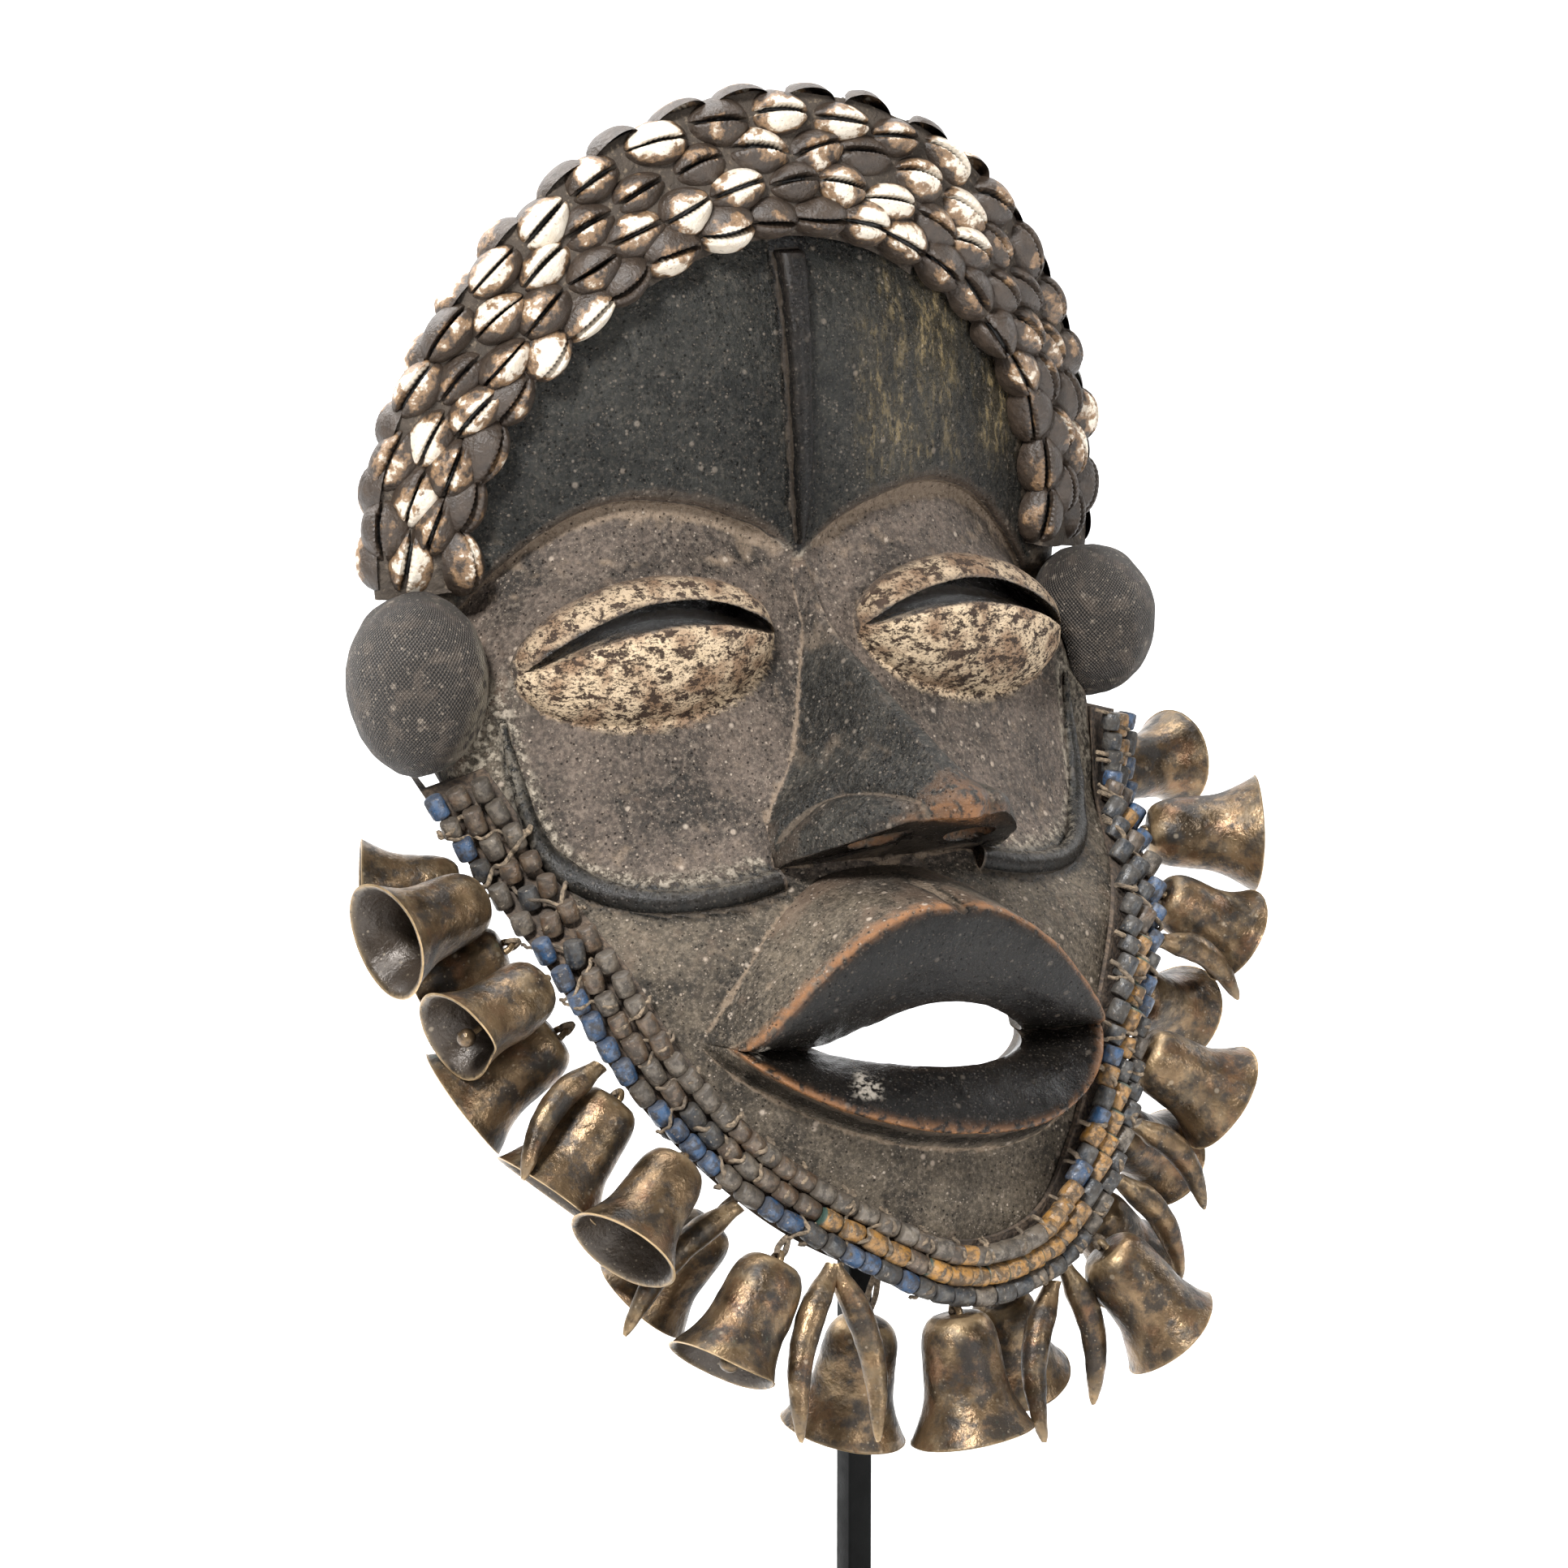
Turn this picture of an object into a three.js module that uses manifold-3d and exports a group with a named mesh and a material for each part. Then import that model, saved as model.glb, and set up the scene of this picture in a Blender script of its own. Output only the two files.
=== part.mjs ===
import * as THREE from "three";
import { mergeVertices } from "three/addons/utils/BufferGeometryUtils.js";
import Module from "manifold-3d";

// A carved wooden face mask with a cap of cowrie shells, cloth ear pads, a beaded jaw strap hung with cast
// bells and claws, on a square steel post. Millimetres, +Z up, the face looks along -Y, +X is the viewer's
// right, and the origin is the middle of the foot's underside. y grows towards the back.

// Stand
const footSize = [130, 120, 8];
const footBevel = 1.5;
const postSize = 6.4;
const postTop = 168;
const tongue = { under: 0.5, reach: 28, thick: 4 };
const arm = { from: [0, 0, 146], to: [48, 8, 166], deep: 2, tall: 3 };
const gap = 0.3;
const smoothing = 0.25;

// Face, on its middle line and across: [height, depth behind the post's axis]
const middleOfForehead = [[286, 27], [297, 26.6], [320, 26.3], [345, 28], [360, 30.4], [374, 34.5]];
const foreheadBow = 0.0037;
const middleOfFace = [
  [133, -42], [145, -42], [157, -39.5], [170, -38], [188, -36], [205, -32], [213, -28],
  [221, -20], [232, -9], [245, 0], [260, 9.5], [279, 19.5], [297, 25],
];
const faceBow = [
  [140, 0.0035], [158, 0.0035], [188, 0.0045], [207, 0.0047], [226, 0.0052], [240, 0.0045],
  [260, 0.0034], [279, 0.0021], [297, 0.003],
];
const halfWidth = [
  [133, 18], [146, 31], [158, 46], [170, 56.5], [188, 67.5], [207, 79], [228, 86.5], [250, 88],
  [270, 84], [286, 80], [312, 76.5], [334, 69], [350, 58], [362, 42],
];
const hairCentre = 300;
const hairlineRadius = 74;
const browV = 297.5;
const browPeak = { x: 40, z: 312 };
const browFall = 17;
const browRun = 32;
const browStep = 4.5;
const browSocket = 20;
const rim = {
  line: [
    [27, 226.5], [36, 224.2], [48, 222.6], [58, 222.6], [66, 224.6], [71.5, 229], [75, 236], [77, 249],
    [78.3, 262],
  ],
  thick: [3, 3, 3, 3, 3.2, 3, 2.2, 1.4, 0.7],
};
const midRow = 220;
const chinBottom = 133;
const chinRise = 13;
const corners = { top: 362, brow: 286, cheek: 236, chin: 146 };

// Back of the mask
const backEdge = [
  [133, -27], [146, -23], [158, -15], [183, -2], [207, 14], [228, 34], [250, 48], [275, 55],
  [300, 60], [335, 57], [375, 49], [410, 41],
];
const flare = [[133, -5], [230, -6], [250, 1], [265, 6], [286, 11], [300, 15], [334, 18], [374, 18]];
const wall = 9;

// Features
const eye = { x: 43.5, z: 276.5, half: 32, up: 18, down: 17.2, bulge: 14, tilt: 0.1 };
const slit = { raised: 0.5, rise: 10, thick: 5.5, share: 0.97 };
const lip = {
  corner: 49.4, middle: -0.5, z: 190.2, top: 34.4, bottom: 19.9, notch: 2.6, forward: -30.7, swell: 18.3,
};
const opening = { corner: 28, middle: 2, z: 187.8, top: 11.6, bottom: 3.4 };
const mouthTilt = -0.038;
const mouthBend = {
  corner: 0.92, upper: 2.16, lower: 1.3, swell: 0.88, upperLean: 0.1, lowerLean: 0.33, notchWide: 3.5,
};
const lipRoot = { wide: 1.1, upper: 1.12, lower: 1.45, deep: 3 };
const lipSteps = 20;
const lipClear = 1.035;

// Cap of shells: [beyond the hairline, forward of it] from the front edge over the dome
const hairEnd = 96;
const hairOuter = [[0, 109.5], [30, 107], [55, 103], [78, 101.5], [96, 101.5]];
const hairProfile = [[-0.5, -3], [1.5, -5], [12, -3.5], [21, 1], [28, 6.5], [30.5, 12], [25, 24]];
const hairSpan = 33;
const cowrie = { across: 20, rows: 5, inset: 0.72, high: 3.8, sink: 0.6 };
const hairInner = { share: 0.72, forward: 10, deep: 8 };

// Ear pads: [middle, radii]
const pads = {
  left: { at: [-95, 41, 271], radii: [16, 19, 22] },
  right: { at: [92, 40, 273], radii: [15.5, 18, 19] },
};

// Jaw line, on the viewer's right from the ear to the chin: [across, height] of the outer string of beads
const jawLine = [
  [-96, 245.6], [-88.5, 229.3], [-81, 206.6], [-71.2, 184.8], [-52.9, 161.9], [-25.9, 143], [2.7, 130.6],
  [30.1, 135.2], [51.3, 156.8], [66.5, 185.2], [81, 207.2], [97.5, 227.1], [102.5, 248.5],
];
const stringStep = 4.9;
const standOff = 6.1;
const beadRadius = 2.4;
const beadPairs = 26;
const strap = { inner: 2.6, outer: 2.6, under: 4.3, thick: 1.3, behind: 14, turn: 0.3, clear: 1.2 };

// Bells and claws: millimetres along the jaw from its left end, out from the beads' line and behind it,
// degrees from straight down (minus to the viewer's left) and back, and size
const bell = { crown: 8.6, rim: 14.6, high: 28, wall: 1.5, stem: 1.7 };
const clapper = { wire: 0.8, pellet: 2.4, below: 3.5 };
const bells = [
  { along: 23, behind: 12, splay: -90, lean: 24, reach: 25.5, size: 0.82 },
  { along: 23, behind: 1, splay: -76, lean: -9, reach: 28, size: 0.97 },
  { along: 35.5, behind: 16, splay: -62, lean: 26, reach: 25, size: 0.78 },
  { along: 39.5, behind: 1, splay: -65, lean: -10, reach: 27, size: 0.92, crushed: 1, clapper: true },
  { along: 53.5, behind: 12, splay: -53, lean: 17, reach: 31, size: 0.98 },
  { along: 68, behind: 6, splay: -40, lean: 2, reach: 28, size: 0.95 },
  { along: 83.5, behind: 0, splay: -48, lean: -15, reach: 27, size: 0.94 },
  { along: 104, behind: 14, splay: -38, lean: 18, reach: 33.5, size: 0.9 },
  { along: 111.5, behind: 1, splay: -34, lean: -8, reach: 33.5, size: 1, crushed: 0.5, clapper: true },
  { along: 141, behind: 12, splay: -8, lean: 9, reach: 39.5, size: 1 },
  { along: 157.5, behind: 2, splay: 5, lean: -8, reach: 29.6, size: 1.04, clapper: true },
  { along: 175, behind: 12, splay: 22, lean: 15, reach: 31, size: 0.9 },
  { along: 198, behind: 0, splay: 38, lean: -14, reach: 31, size: 1, crushed: 0.4 },
  { along: 207.5, behind: 14, splay: 42, lean: 14, reach: 35, size: 0.88 },
  { along: 224, behind: 14, splay: 60, lean: 16, reach: 31.5, size: 0.85 },
  { along: 243.5, behind: 4, splay: 58, lean: -6, reach: 26.5, size: 0.92 },
  { along: 256, behind: 15, splay: 66, lean: 23, reach: 34.5, size: 0.86 },
  { along: 283.5, behind: 1, splay: 60, lean: -6, reach: 24.5, size: 0.85 },
  { along: 298, behind: 0, splay: 88, lean: -26, reach: 27.5, size: 0.98 },
  { along: 307, behind: 14, splay: 94, lean: 10, reach: 27, size: 0.88 },
];
const claw = { radius: 3.5, neck: 0.55, bend: 4, sides: 5, steps: 5 };
const claws = [
  { along: 59.5, behind: 0.6, splay: [-46], lean: -11, reach: 33 },
  { along: 101.5, behind: 6, splay: [-47], lean: 2, reach: 40 },
  { along: 123, behind: 0, splay: [-23, 7], lean: -17, reach: 42 },
  { along: 184, behind: 1, splay: [-15], lean: -17, reach: 38 },
  { along: 189, behind: 3, splay: [11], lean: -5, reach: 35 },
  { along: 213, behind: 2, splay: [34], lean: -3, reach: 32 },
  { along: 226.5, behind: 1, splay: [39], lean: -7, reach: 29 },
  { along: 271.5, behind: 1, splay: [53], lean: -3, reach: 28 },
];

const colours = {
  wood: "#3b3733", cowrie: "#8c8172", pad: "#46403a", strap: "#6b5745", beadBlue: "#3c5675",
  beadBrown: "#8a6a3d", beadSlate: "#4a4d50", brass: "#6d5638", iron: "#0f1010",
};

const wasm = await Module();
wasm.setup();

// A smooth curve through [x, y] pairs, flat beyond its ends
function through(pairs) {
  const slope = pairs.map((_, i) => {
    const a = pairs[Math.max(i - 1, 0)];
    const b = pairs[Math.min(i + 1, pairs.length - 1)];
    return (b[1] - a[1]) / (b[0] - a[0]);
  });
  return (x) => {
    if (x <= pairs[0][0]) return pairs[0][1];
    const last = pairs.length - 1;
    if (x >= pairs[last][0]) return pairs[last][1];
    const i = pairs.findIndex((p) => p[0] > x) - 1;
    const run = pairs[i + 1][0] - pairs[i][0];
    const t = (x - pairs[i][0]) / run;
    const t2 = t * t;
    const t3 = t2 * t;
    return (
      (2 * t3 - 3 * t2 + 1) * pairs[i][1] +
      (t3 - 2 * t2 + t) * run * slope[i] +
      (3 * t2 - 2 * t3) * pairs[i + 1][1] +
      (t3 - t2) * run * slope[i + 1]
    );
  };
}

const lerp = THREE.MathUtils.lerp;
const ease = (t) => THREE.MathUtils.smoothstep(t, 0, 1);
const foreheadMid = through(middleOfForehead);
const faceMid = through(middleOfFace);
const bow = through(faceBow);
const widthAt = through(halfWidth);
const backDepth = through(backEdge);
const flareAt = through(flare);
const hairRadius = through(hairOuter);

// A closed mesh from points and triangles, turned so that its faces point out
function closedMesh(points, triangles) {
  let volume = 0;
  for (const [a, b, c] of triangles) {
    const [p, q, r] = [points[a], points[b], points[c]];
    volume += p.x * (q.y * r.z - q.z * r.y) - p.y * (q.x * r.z - q.z * r.x) + p.z * (q.x * r.y - q.y * r.x);
  }
  const order = volume < 0 ? triangles.map(([a, b, c]) => [a, c, b]) : triangles;
  const geometry = new THREE.BufferGeometry();
  const places = points.flatMap((p) => [p.x, p.y, p.z]);
  geometry.setAttribute("position", new THREE.Float32BufferAttribute(places, 3));
  geometry.setIndex(order.flat());
  return geometry;
}

// Closed rings of points joined one to the next, with a fan over each end
function loft(rings) {
  const count = rings[0].length;
  const points = rings.flat();
  const triangles = [];
  for (let r = 0; r + 1 < rings.length; r++)
    for (let i = 0; i < count; i++) {
      const a = r * count + i;
      const b = r * count + ((i + 1) % count);
      triangles.push([a, b, b + count], [a, b + count, a + count]);
    }
  for (const [ring, turn] of [[0, 1], [rings.length - 1, 0]]) {
    const middle = rings[ring].reduce((sum, p) => sum.add(p), new THREE.Vector3()).divideScalar(count);
    points.push(middle);
    for (let i = 0; i < count; i++) {
      const a = ring * count + i;
      const b = ring * count + ((i + 1) % count);
      triangles.push(turn ? [b, a, points.length - 1] : [a, b, points.length - 1]);
    }
  }
  return closedMesh(points, triangles);
}

// Closed rings joined one to the next and the last to the first, as in a hoop
function hoop(rings) {
  const count = rings[0].length;
  const points = rings.flat();
  const triangles = [];
  for (let r = 0; r < rings.length; r++)
    for (let i = 0; i < count; i++) {
      const next = ((r + 1) % rings.length) * count;
      const a = r * count + i;
      const b = r * count + ((i + 1) % count);
      triangles.push([a, b, next + (b % count)], [a, next + (b % count), next + (a % count)]);
    }
  return closedMesh(points, triangles);
}

function toSolid(geometry) {
  const bare = geometry.clone();
  for (const name of Object.keys(bare.attributes)) if (name !== "position") bare.deleteAttribute(name);
  const merged = mergeVertices(bare, 1e-4);
  return new wasm.Manifold(
    new wasm.Mesh({
      numProp: 3,
      vertProperties: merged.attributes.position.array,
      triVerts: new Uint32Array(merged.index.array),
    }),
  );
}

function toGeometry(solid) {
  const mesh = solid.getMesh();
  const geometry = new THREE.BufferGeometry();
  geometry.setAttribute("position", new THREE.BufferAttribute(new Float32Array(mesh.vertProperties), 3));
  geometry.setIndex([...mesh.triVerts]);
  const flat = geometry.toNonIndexed();
  flat.computeVertexNormals();
  return flat;
}

// The one piece that is left when a cut drops slivers
const larger = (a, b) => (a.volume() > b.volume() ? a : b);
const largest = (solid) => solid.decompose().reduce(larger);

// Face surface
const browAt = (x) =>
  Math.abs(x) < browPeak.x
    ? browPeak.z - (browPeak.z - browV) * ((browPeak.x - Math.abs(x)) / browPeak.x) ** 2
    : browPeak.z - browFall * ((Math.abs(x) - browPeak.x) / browRun) ** 2;
const foreheadDepth = (x, z) => foreheadMid(z) + foreheadBow * x * x;
const jawDepth = (x, z) => faceMid(z) + bow(z) * x * x;

function panelDepth(x, z) {
  const under = ease((browAt(x) - z) / browSocket);
  const edge = foreheadDepth(x, browAt(x)) + browStep * ease(Math.abs(x) / 14);
  return lerp(edge, jawDepth(x, z), under);
}

// Rows of the face's grid, from the hairline to the chin: a height for each place across, and a depth
function faceRows() {
  const top = (s) => hairCentre + Math.sqrt(hairlineRadius ** 2 - (s * widthAt(corners.top)) ** 2);
  const brow = (s) => browAt(s * widthAt(corners.brow));
  const cheek = (s) => lerp(midRow, corners.cheek, s ** 4);
  const chin = (s) => chinBottom + chinRise * s * s;
  const rows = [];
  const band = (from, to, fromEdge, toEdge, steps, depth) => {
    for (const a of steps)
      rows.push({ edge: lerp(fromEdge, toEdge, a), height: (s) => lerp(from(s), to(s), a), depth });
  };
  const off = (curve, drop) => (s) => curve(s) + drop;
  band(top, brow, corners.top, corners.brow, [0, 0.16, 0.36, 0.58, 0.8, 1], foreheadDepth);
  const underBrow = off(brow, -1.2);
  band(underBrow, cheek, corners.brow - 1, corners.cheek, [0, 0.14, 0.3, 0.46, 0.64, 0.82, 1], panelDepth);
  band(cheek, chin, corners.cheek, corners.chin, [0.12, 0.27, 0.44, 0.6, 0.76, 0.89, 1], jawDepth);
  return rows;
}

// The wooden head as one solid block, with its skin moved out by grow
function headBlock(grow) {
  const across = 14;
  const rows = faceRows();
  const points = [];
  const grid = rows.map((row) => {
    const wide = widthAt(row.edge);
    const line = [];
    for (let i = 0; i <= across; i++) {
      const s = (i / across) * 2 - 1;
      const x = s * wide;
      const z = row.height(s);
      line.push(points.length);
      const raised = z + (grow * (z - 255)) / 110;
      points.push(new THREE.Vector3(x * (1 + grow / 80), row.depth(x, z) - grow, raised));
    }
    return line;
  });
  const triangles = [];
  for (let j = 0; j + 1 < grid.length; j++)
    for (let i = 0; i < across; i++) {
      const [a, b, c, d] = [grid[j][i], grid[j][i + 1], grid[j + 1][i + 1], grid[j + 1][i]];
      triangles.push([a, b, c], [a, c, d]);
    }
  const last = grid.length - 1;
  const edge = [
    ...grid[0],
    ...grid.slice(1, last).map((line) => line[across]),
    ...grid[last].slice().reverse(),
    ...grid.slice(1, last).map((line) => line[0]).reverse(),
  ];
  let ring = edge;
  for (const t of [0.25, 0.58, 1]) {
    const next = edge.map((index) => {
      points.push(sideCurve(points[index], t, grow));
      return points.length - 1;
    });
    for (let i = 0; i < edge.length; i++) {
      const j = (i + 1) % edge.length;
      triangles.push([ring[i], next[j], ring[j]], [ring[i], next[i], next[j]]);
    }
    ring = next;
  }
  points.push(new THREE.Vector3(0, backDepth(255) + grow, 255));
  for (let i = 0; i < ring.length; i++)
    triangles.push([ring[i], points.length - 1, ring[(i + 1) % ring.length]]);
  return closedMesh(points, triangles);
}

// From a point on the face's edge round to the back
function sideCurve(from, t, grow) {
  const centre = from.z > hairCentre ? hairCentre : lerp(225, hairCentre, ease((from.z - 225) / 75));
  const out = new THREE.Vector3(from.x, 0, from.z - centre).normalize();
  const spread = flareAt(from.z);
  const to = from.clone().addScaledVector(out, spread);
  to.y = backDepth(to.z) + grow;
  const reach = to.y - from.y;
  const first = from.clone().addScaledVector(out, Math.max(spread, 0) * 0.65);
  first.y += reach * lerp(0.4, 0.05, ease(spread / 6));
  const second = to.clone();
  second.y -= reach * 0.45;
  return new THREE.CubicBezierCurve3(from, first, second, to).getPoint(t);
}

// The hollow behind the face
function hollow() {
  const heights = [143, 158, 182, 210, 232, 256, 282, 304, 330, 350, 362, 369];
  const rings = heights.map((z) => {
    const arch = Math.sqrt((hairlineRadius - 2) ** 2 - Math.max(z - hairCentre, 0) ** 2);
    const wide = Math.min(widthAt(z) - wall + 2, z > hairCentre ? arch : 78);
    const ring = [];
    for (let i = 0; i <= 6; i++) {
      const x = ((i / 6) * 2 - 1) * wide;
      const depth = z > 292 ? foreheadDepth(x, z) : jawDepth(x, z) + 4 * ease((z - 255) / 30);
      ring.push(new THREE.Vector3(x, depth + wall * 1.15, z));
    }
    for (const side of [1, -1]) ring.push(new THREE.Vector3(side * wide * 1.02, backDepth(z) + 40, z));
    return ring;
  });
  return loft(rings);
}

// Nose: rings from the bridge to the lower edge, each from the left cheek over the crest to the right
function nose() {
  const stations = [
    { half: 4, middle: 0, crest: [25, 296], foot: [30, 294], belly: 0 },
    { half: 7, middle: 0.5, crest: [13, 281], foot: [26, 277], belly: 0 },
    { half: 13, middle: 1, crest: [-8, 270], foot: [18, 262], belly: -1 },
    { half: 19, middle: 2, crest: [-27, 260], foot: [8, 250], belly: -2 },
    { half: 26, middle: 2.5, crest: [-41, 252.5], foot: [1, 241], belly: 2 },
    { half: 31, middle: 3, crest: [-48, 248.5], foot: [-6, 233], belly: 9 },
    { half: 31.5, middle: 3, crest: [-47, 244], foot: [-9, 228], belly: 10 },
  ];
  const ridge = 0.1;
  const wingDrop = 1.7;
  const rings = stations.map(({ half, middle, crest, foot, belly }) => {
    const ring = [];
    for (const v of [-1, -0.82, -0.6, -0.36, -ridge, ridge, 0.36, 0.6, 0.82, 1]) {
      const a = (Math.abs(v) - ridge) / (1 - ridge);
      const swell = belly * Math.sin(Math.PI * a ** 1.5);
      const y = lerp(crest[0], foot[0], a) - swell;
      const z = lerp(crest[1], foot[1], belly > 0 ? a ** wingDrop : a);
      ring.push(new THREE.Vector3(middle + v * half, y, z));
    }
    for (const side of [0.5, -0.5]) ring.push(new THREE.Vector3(middle + half * side, foot[0] + 8, foot[1]));
    return ring;
  });
  return loft(rings);
}

// Ridge down the middle of the forehead
function ridge() {
  const stations = [[369, 3.8, 4.6], [355, 3.4, 4.4], [330, 2.7, 4], [310, 2, 3.6], [299, 0.8, 2.4]];
  const rings = [];
  for (const [z, half, high] of stations) {
    const y = foreheadMid(z);
    const ring = [];
    for (const [u, v] of [[-1, -1], [-0.9, 0.5], [-0.5, 0.92], [0, 1], [0.5, 0.92], [0.9, 0.5], [1, -1]])
      ring.push(new THREE.Vector3(u * half, y - v * high * (v > 0 ? 1 : 0.6), z));
    rings.push(ring);
  }
  return loft(rings);
}

// Closed eyelids, as one almond
function lids(side) {
  const rings = [];
  const steps = 9;
  for (let k = 0; k <= steps; k++) {
    const u = -Math.cos((Math.PI * k) / steps) * 0.985;
    const x = side * (eye.x + u * eye.half);
    const level = eye.z - u * eye.half * eye.tilt;
    const wide = Math.sqrt(1 - u * u);
    const ring = [];
    for (let i = 0; i < 10; i++) {
      const a = (2 * Math.PI * i) / 10;
      const rise = Math.sin(a);
      const z = level + rise * wide * (rise > 0 ? eye.up : eye.down);
      const bulge = Math.cos(a) * (Math.cos(a) > 0 ? eye.bulge : 4) * wide ** 0.8;
      ring.push(new THREE.Vector3(x, panelDepth(x, level) - bulge + 1, z));
    }
    rings.push(ring);
  }
  return loft(rings);
}

// Slit between the lids, cut right through
function slitCut(side) {
  const shape = new THREE.Shape();
  const steps = 10;
  const edge = (sign) => {
    const line = [];
    for (let k = 0; k <= steps; k++) {
      const u = (k / steps) * 2 - 1;
      const bulge = 1 - u * u;
      const middle = eye.z + slit.raised - u * eye.half * eye.tilt + bulge * slit.rise;
      line.push([
        side * (eye.x + u * eye.half * slit.share),
        middle + (sign * slit.thick * Math.sqrt(bulge)) / 2,
      ]);
    }
    return line;
  };
  const outline = [...edge(1), ...edge(-1).reverse().slice(1, -1)];
  outline.forEach(([x, z], i) => (i ? shape.lineTo(x, z) : shape.moveTo(x, z)));
  const cut = new THREE.ExtrudeGeometry(shape, { depth: 80, bevelEnabled: false });
  return cut.rotateX(Math.PI / 2).translate(0, 60, 0);
}

// Rolled rim below each cheek, its skin moved out by grow
function cheekRim(side, grow = 0) {
  const rings = rim.line.map(([x, z], i) => {
    const before = rim.line[Math.max(i - 1, 0)];
    const after = rim.line[Math.min(i + 1, rim.line.length - 1)];
    const along = new THREE.Vector2(after[0] - before[0], after[1] - before[1]).normalize();
    const thick = rim.thick[i] + grow;
    const ring = [];
    for (let k = 0; k < 6; k++) {
      const a = (2 * Math.PI * k) / 6;
      const out = thick * Math.cos(a);
      const px = x + along.y * out;
      const pz = z - along.x * out;
      ring.push(new THREE.Vector3(side * px, jawDepth(x, z) - 0.8 - thick * Math.sin(a), pz));
    }
    return ring;
  });
  return loft(rings);
}

// A line round the mouth: angle 0 is the right corner, and it rises first
function mouthLine(angle, { corner, middle, z, top, bottom, notch = 0 }) {
  const c = Math.cos(angle);
  const s = Math.sin(angle);
  const bend = mouthBend;
  const x = corner * Math.sign(c) * Math.abs(c) ** bend.corner;
  const dip = notch * Math.exp(-((x / bend.notchWide) ** 2));
  const upper = top * Math.abs(s) ** bend.upper * (1 - bend.upperLean * c) - dip;
  const lower = -bottom * Math.abs(s) ** bend.lower * (1 + bend.lowerLean * c);
  return [x + middle, z + mouthTilt * x + (s > 0 ? upper : lower)];
}

// Lips: sections from the root over the worn edge and down the funnel into the opening
function lips(count) {
  const rings = [];
  for (let k = 0; k < count; k++) {
    const angle = (2 * Math.PI * k) / count;
    const swell = Math.abs(Math.sin(angle)) ** mouthBend.swell;
    const [x, z] = mouthLine(angle, lip);
    const [hx, hz] = mouthLine(angle, opening);
    const front = lip.forward - lip.swell * swell;
    const flank = Math.sin(angle) > 0 ? lipRoot.upper : lipRoot.lower;
    const rootZ = lip.z + (z - lip.z) * flank;
    const root = new THREE.Vector3(x * lipRoot.wide, jawDepth(x, z) + lipRoot.deep, rootZ);
    const at = (t, y) => new THREE.Vector3(lerp(x, hx, t), y, lerp(z, hz, t));
    const back = new THREE.Vector3(x * 0.9, front + 30, lip.z + (z - lip.z) * 0.9);
    rings.push([
      root, at(-0.03, front + 4), at(0, front), at(0.12, front - 0.8), at(0.5, front + 2),
      at(0.88, front + 7), at(1, front + 9), at(0.45, front + 28), back,
    ]);
  }
  return hoop(rings);
}

function mouthCut(count) {
  const outline = [];
  for (let k = 0; k < count; k++) {
    const [x, z] = mouthLine((2 * Math.PI * k) / count, lip);
    outline.push(new THREE.Vector2(x * 0.86, lip.z + (z - lip.z) * 0.84));
  }
  const cut = new THREE.ExtrudeGeometry(new THREE.Shape(outline), { depth: 120, bevelEnabled: false });
  return cut.rotateX(Math.PI / 2).translate(0, 50, 0);
}

// Cap of paste and shells: sections round the dome, in the plane through the hair's centre
function hairSection(degrees) {
  const angle = THREE.MathUtils.degToRad(degrees);
  const side = ease((Math.abs(degrees) - 40) / 45);
  const start = lerp(hairlineRadius, widthAt(300) + 0.5, side);
  const outer = hairRadius(Math.abs(degrees));
  const x = start * Math.sin(angle);
  const z = hairCentre + start * Math.cos(angle);
  const front = foreheadDepth(x, z);
  const back = backDepth(hairCentre + outer * Math.cos(angle));
  const lastOut = hairProfile[hairProfile.length - 1][1];
  const reach = (back - front) / lastOut;
  return hairProfile.map(([out, deep]) => {
    const r = start + (out * (outer - start)) / hairSpan;
    const y = front + (deep > 0 ? deep * reach : deep);
    return new THREE.Vector3(r * Math.sin(angle), y, hairCentre + r * Math.cos(angle));
  });
}

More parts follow.
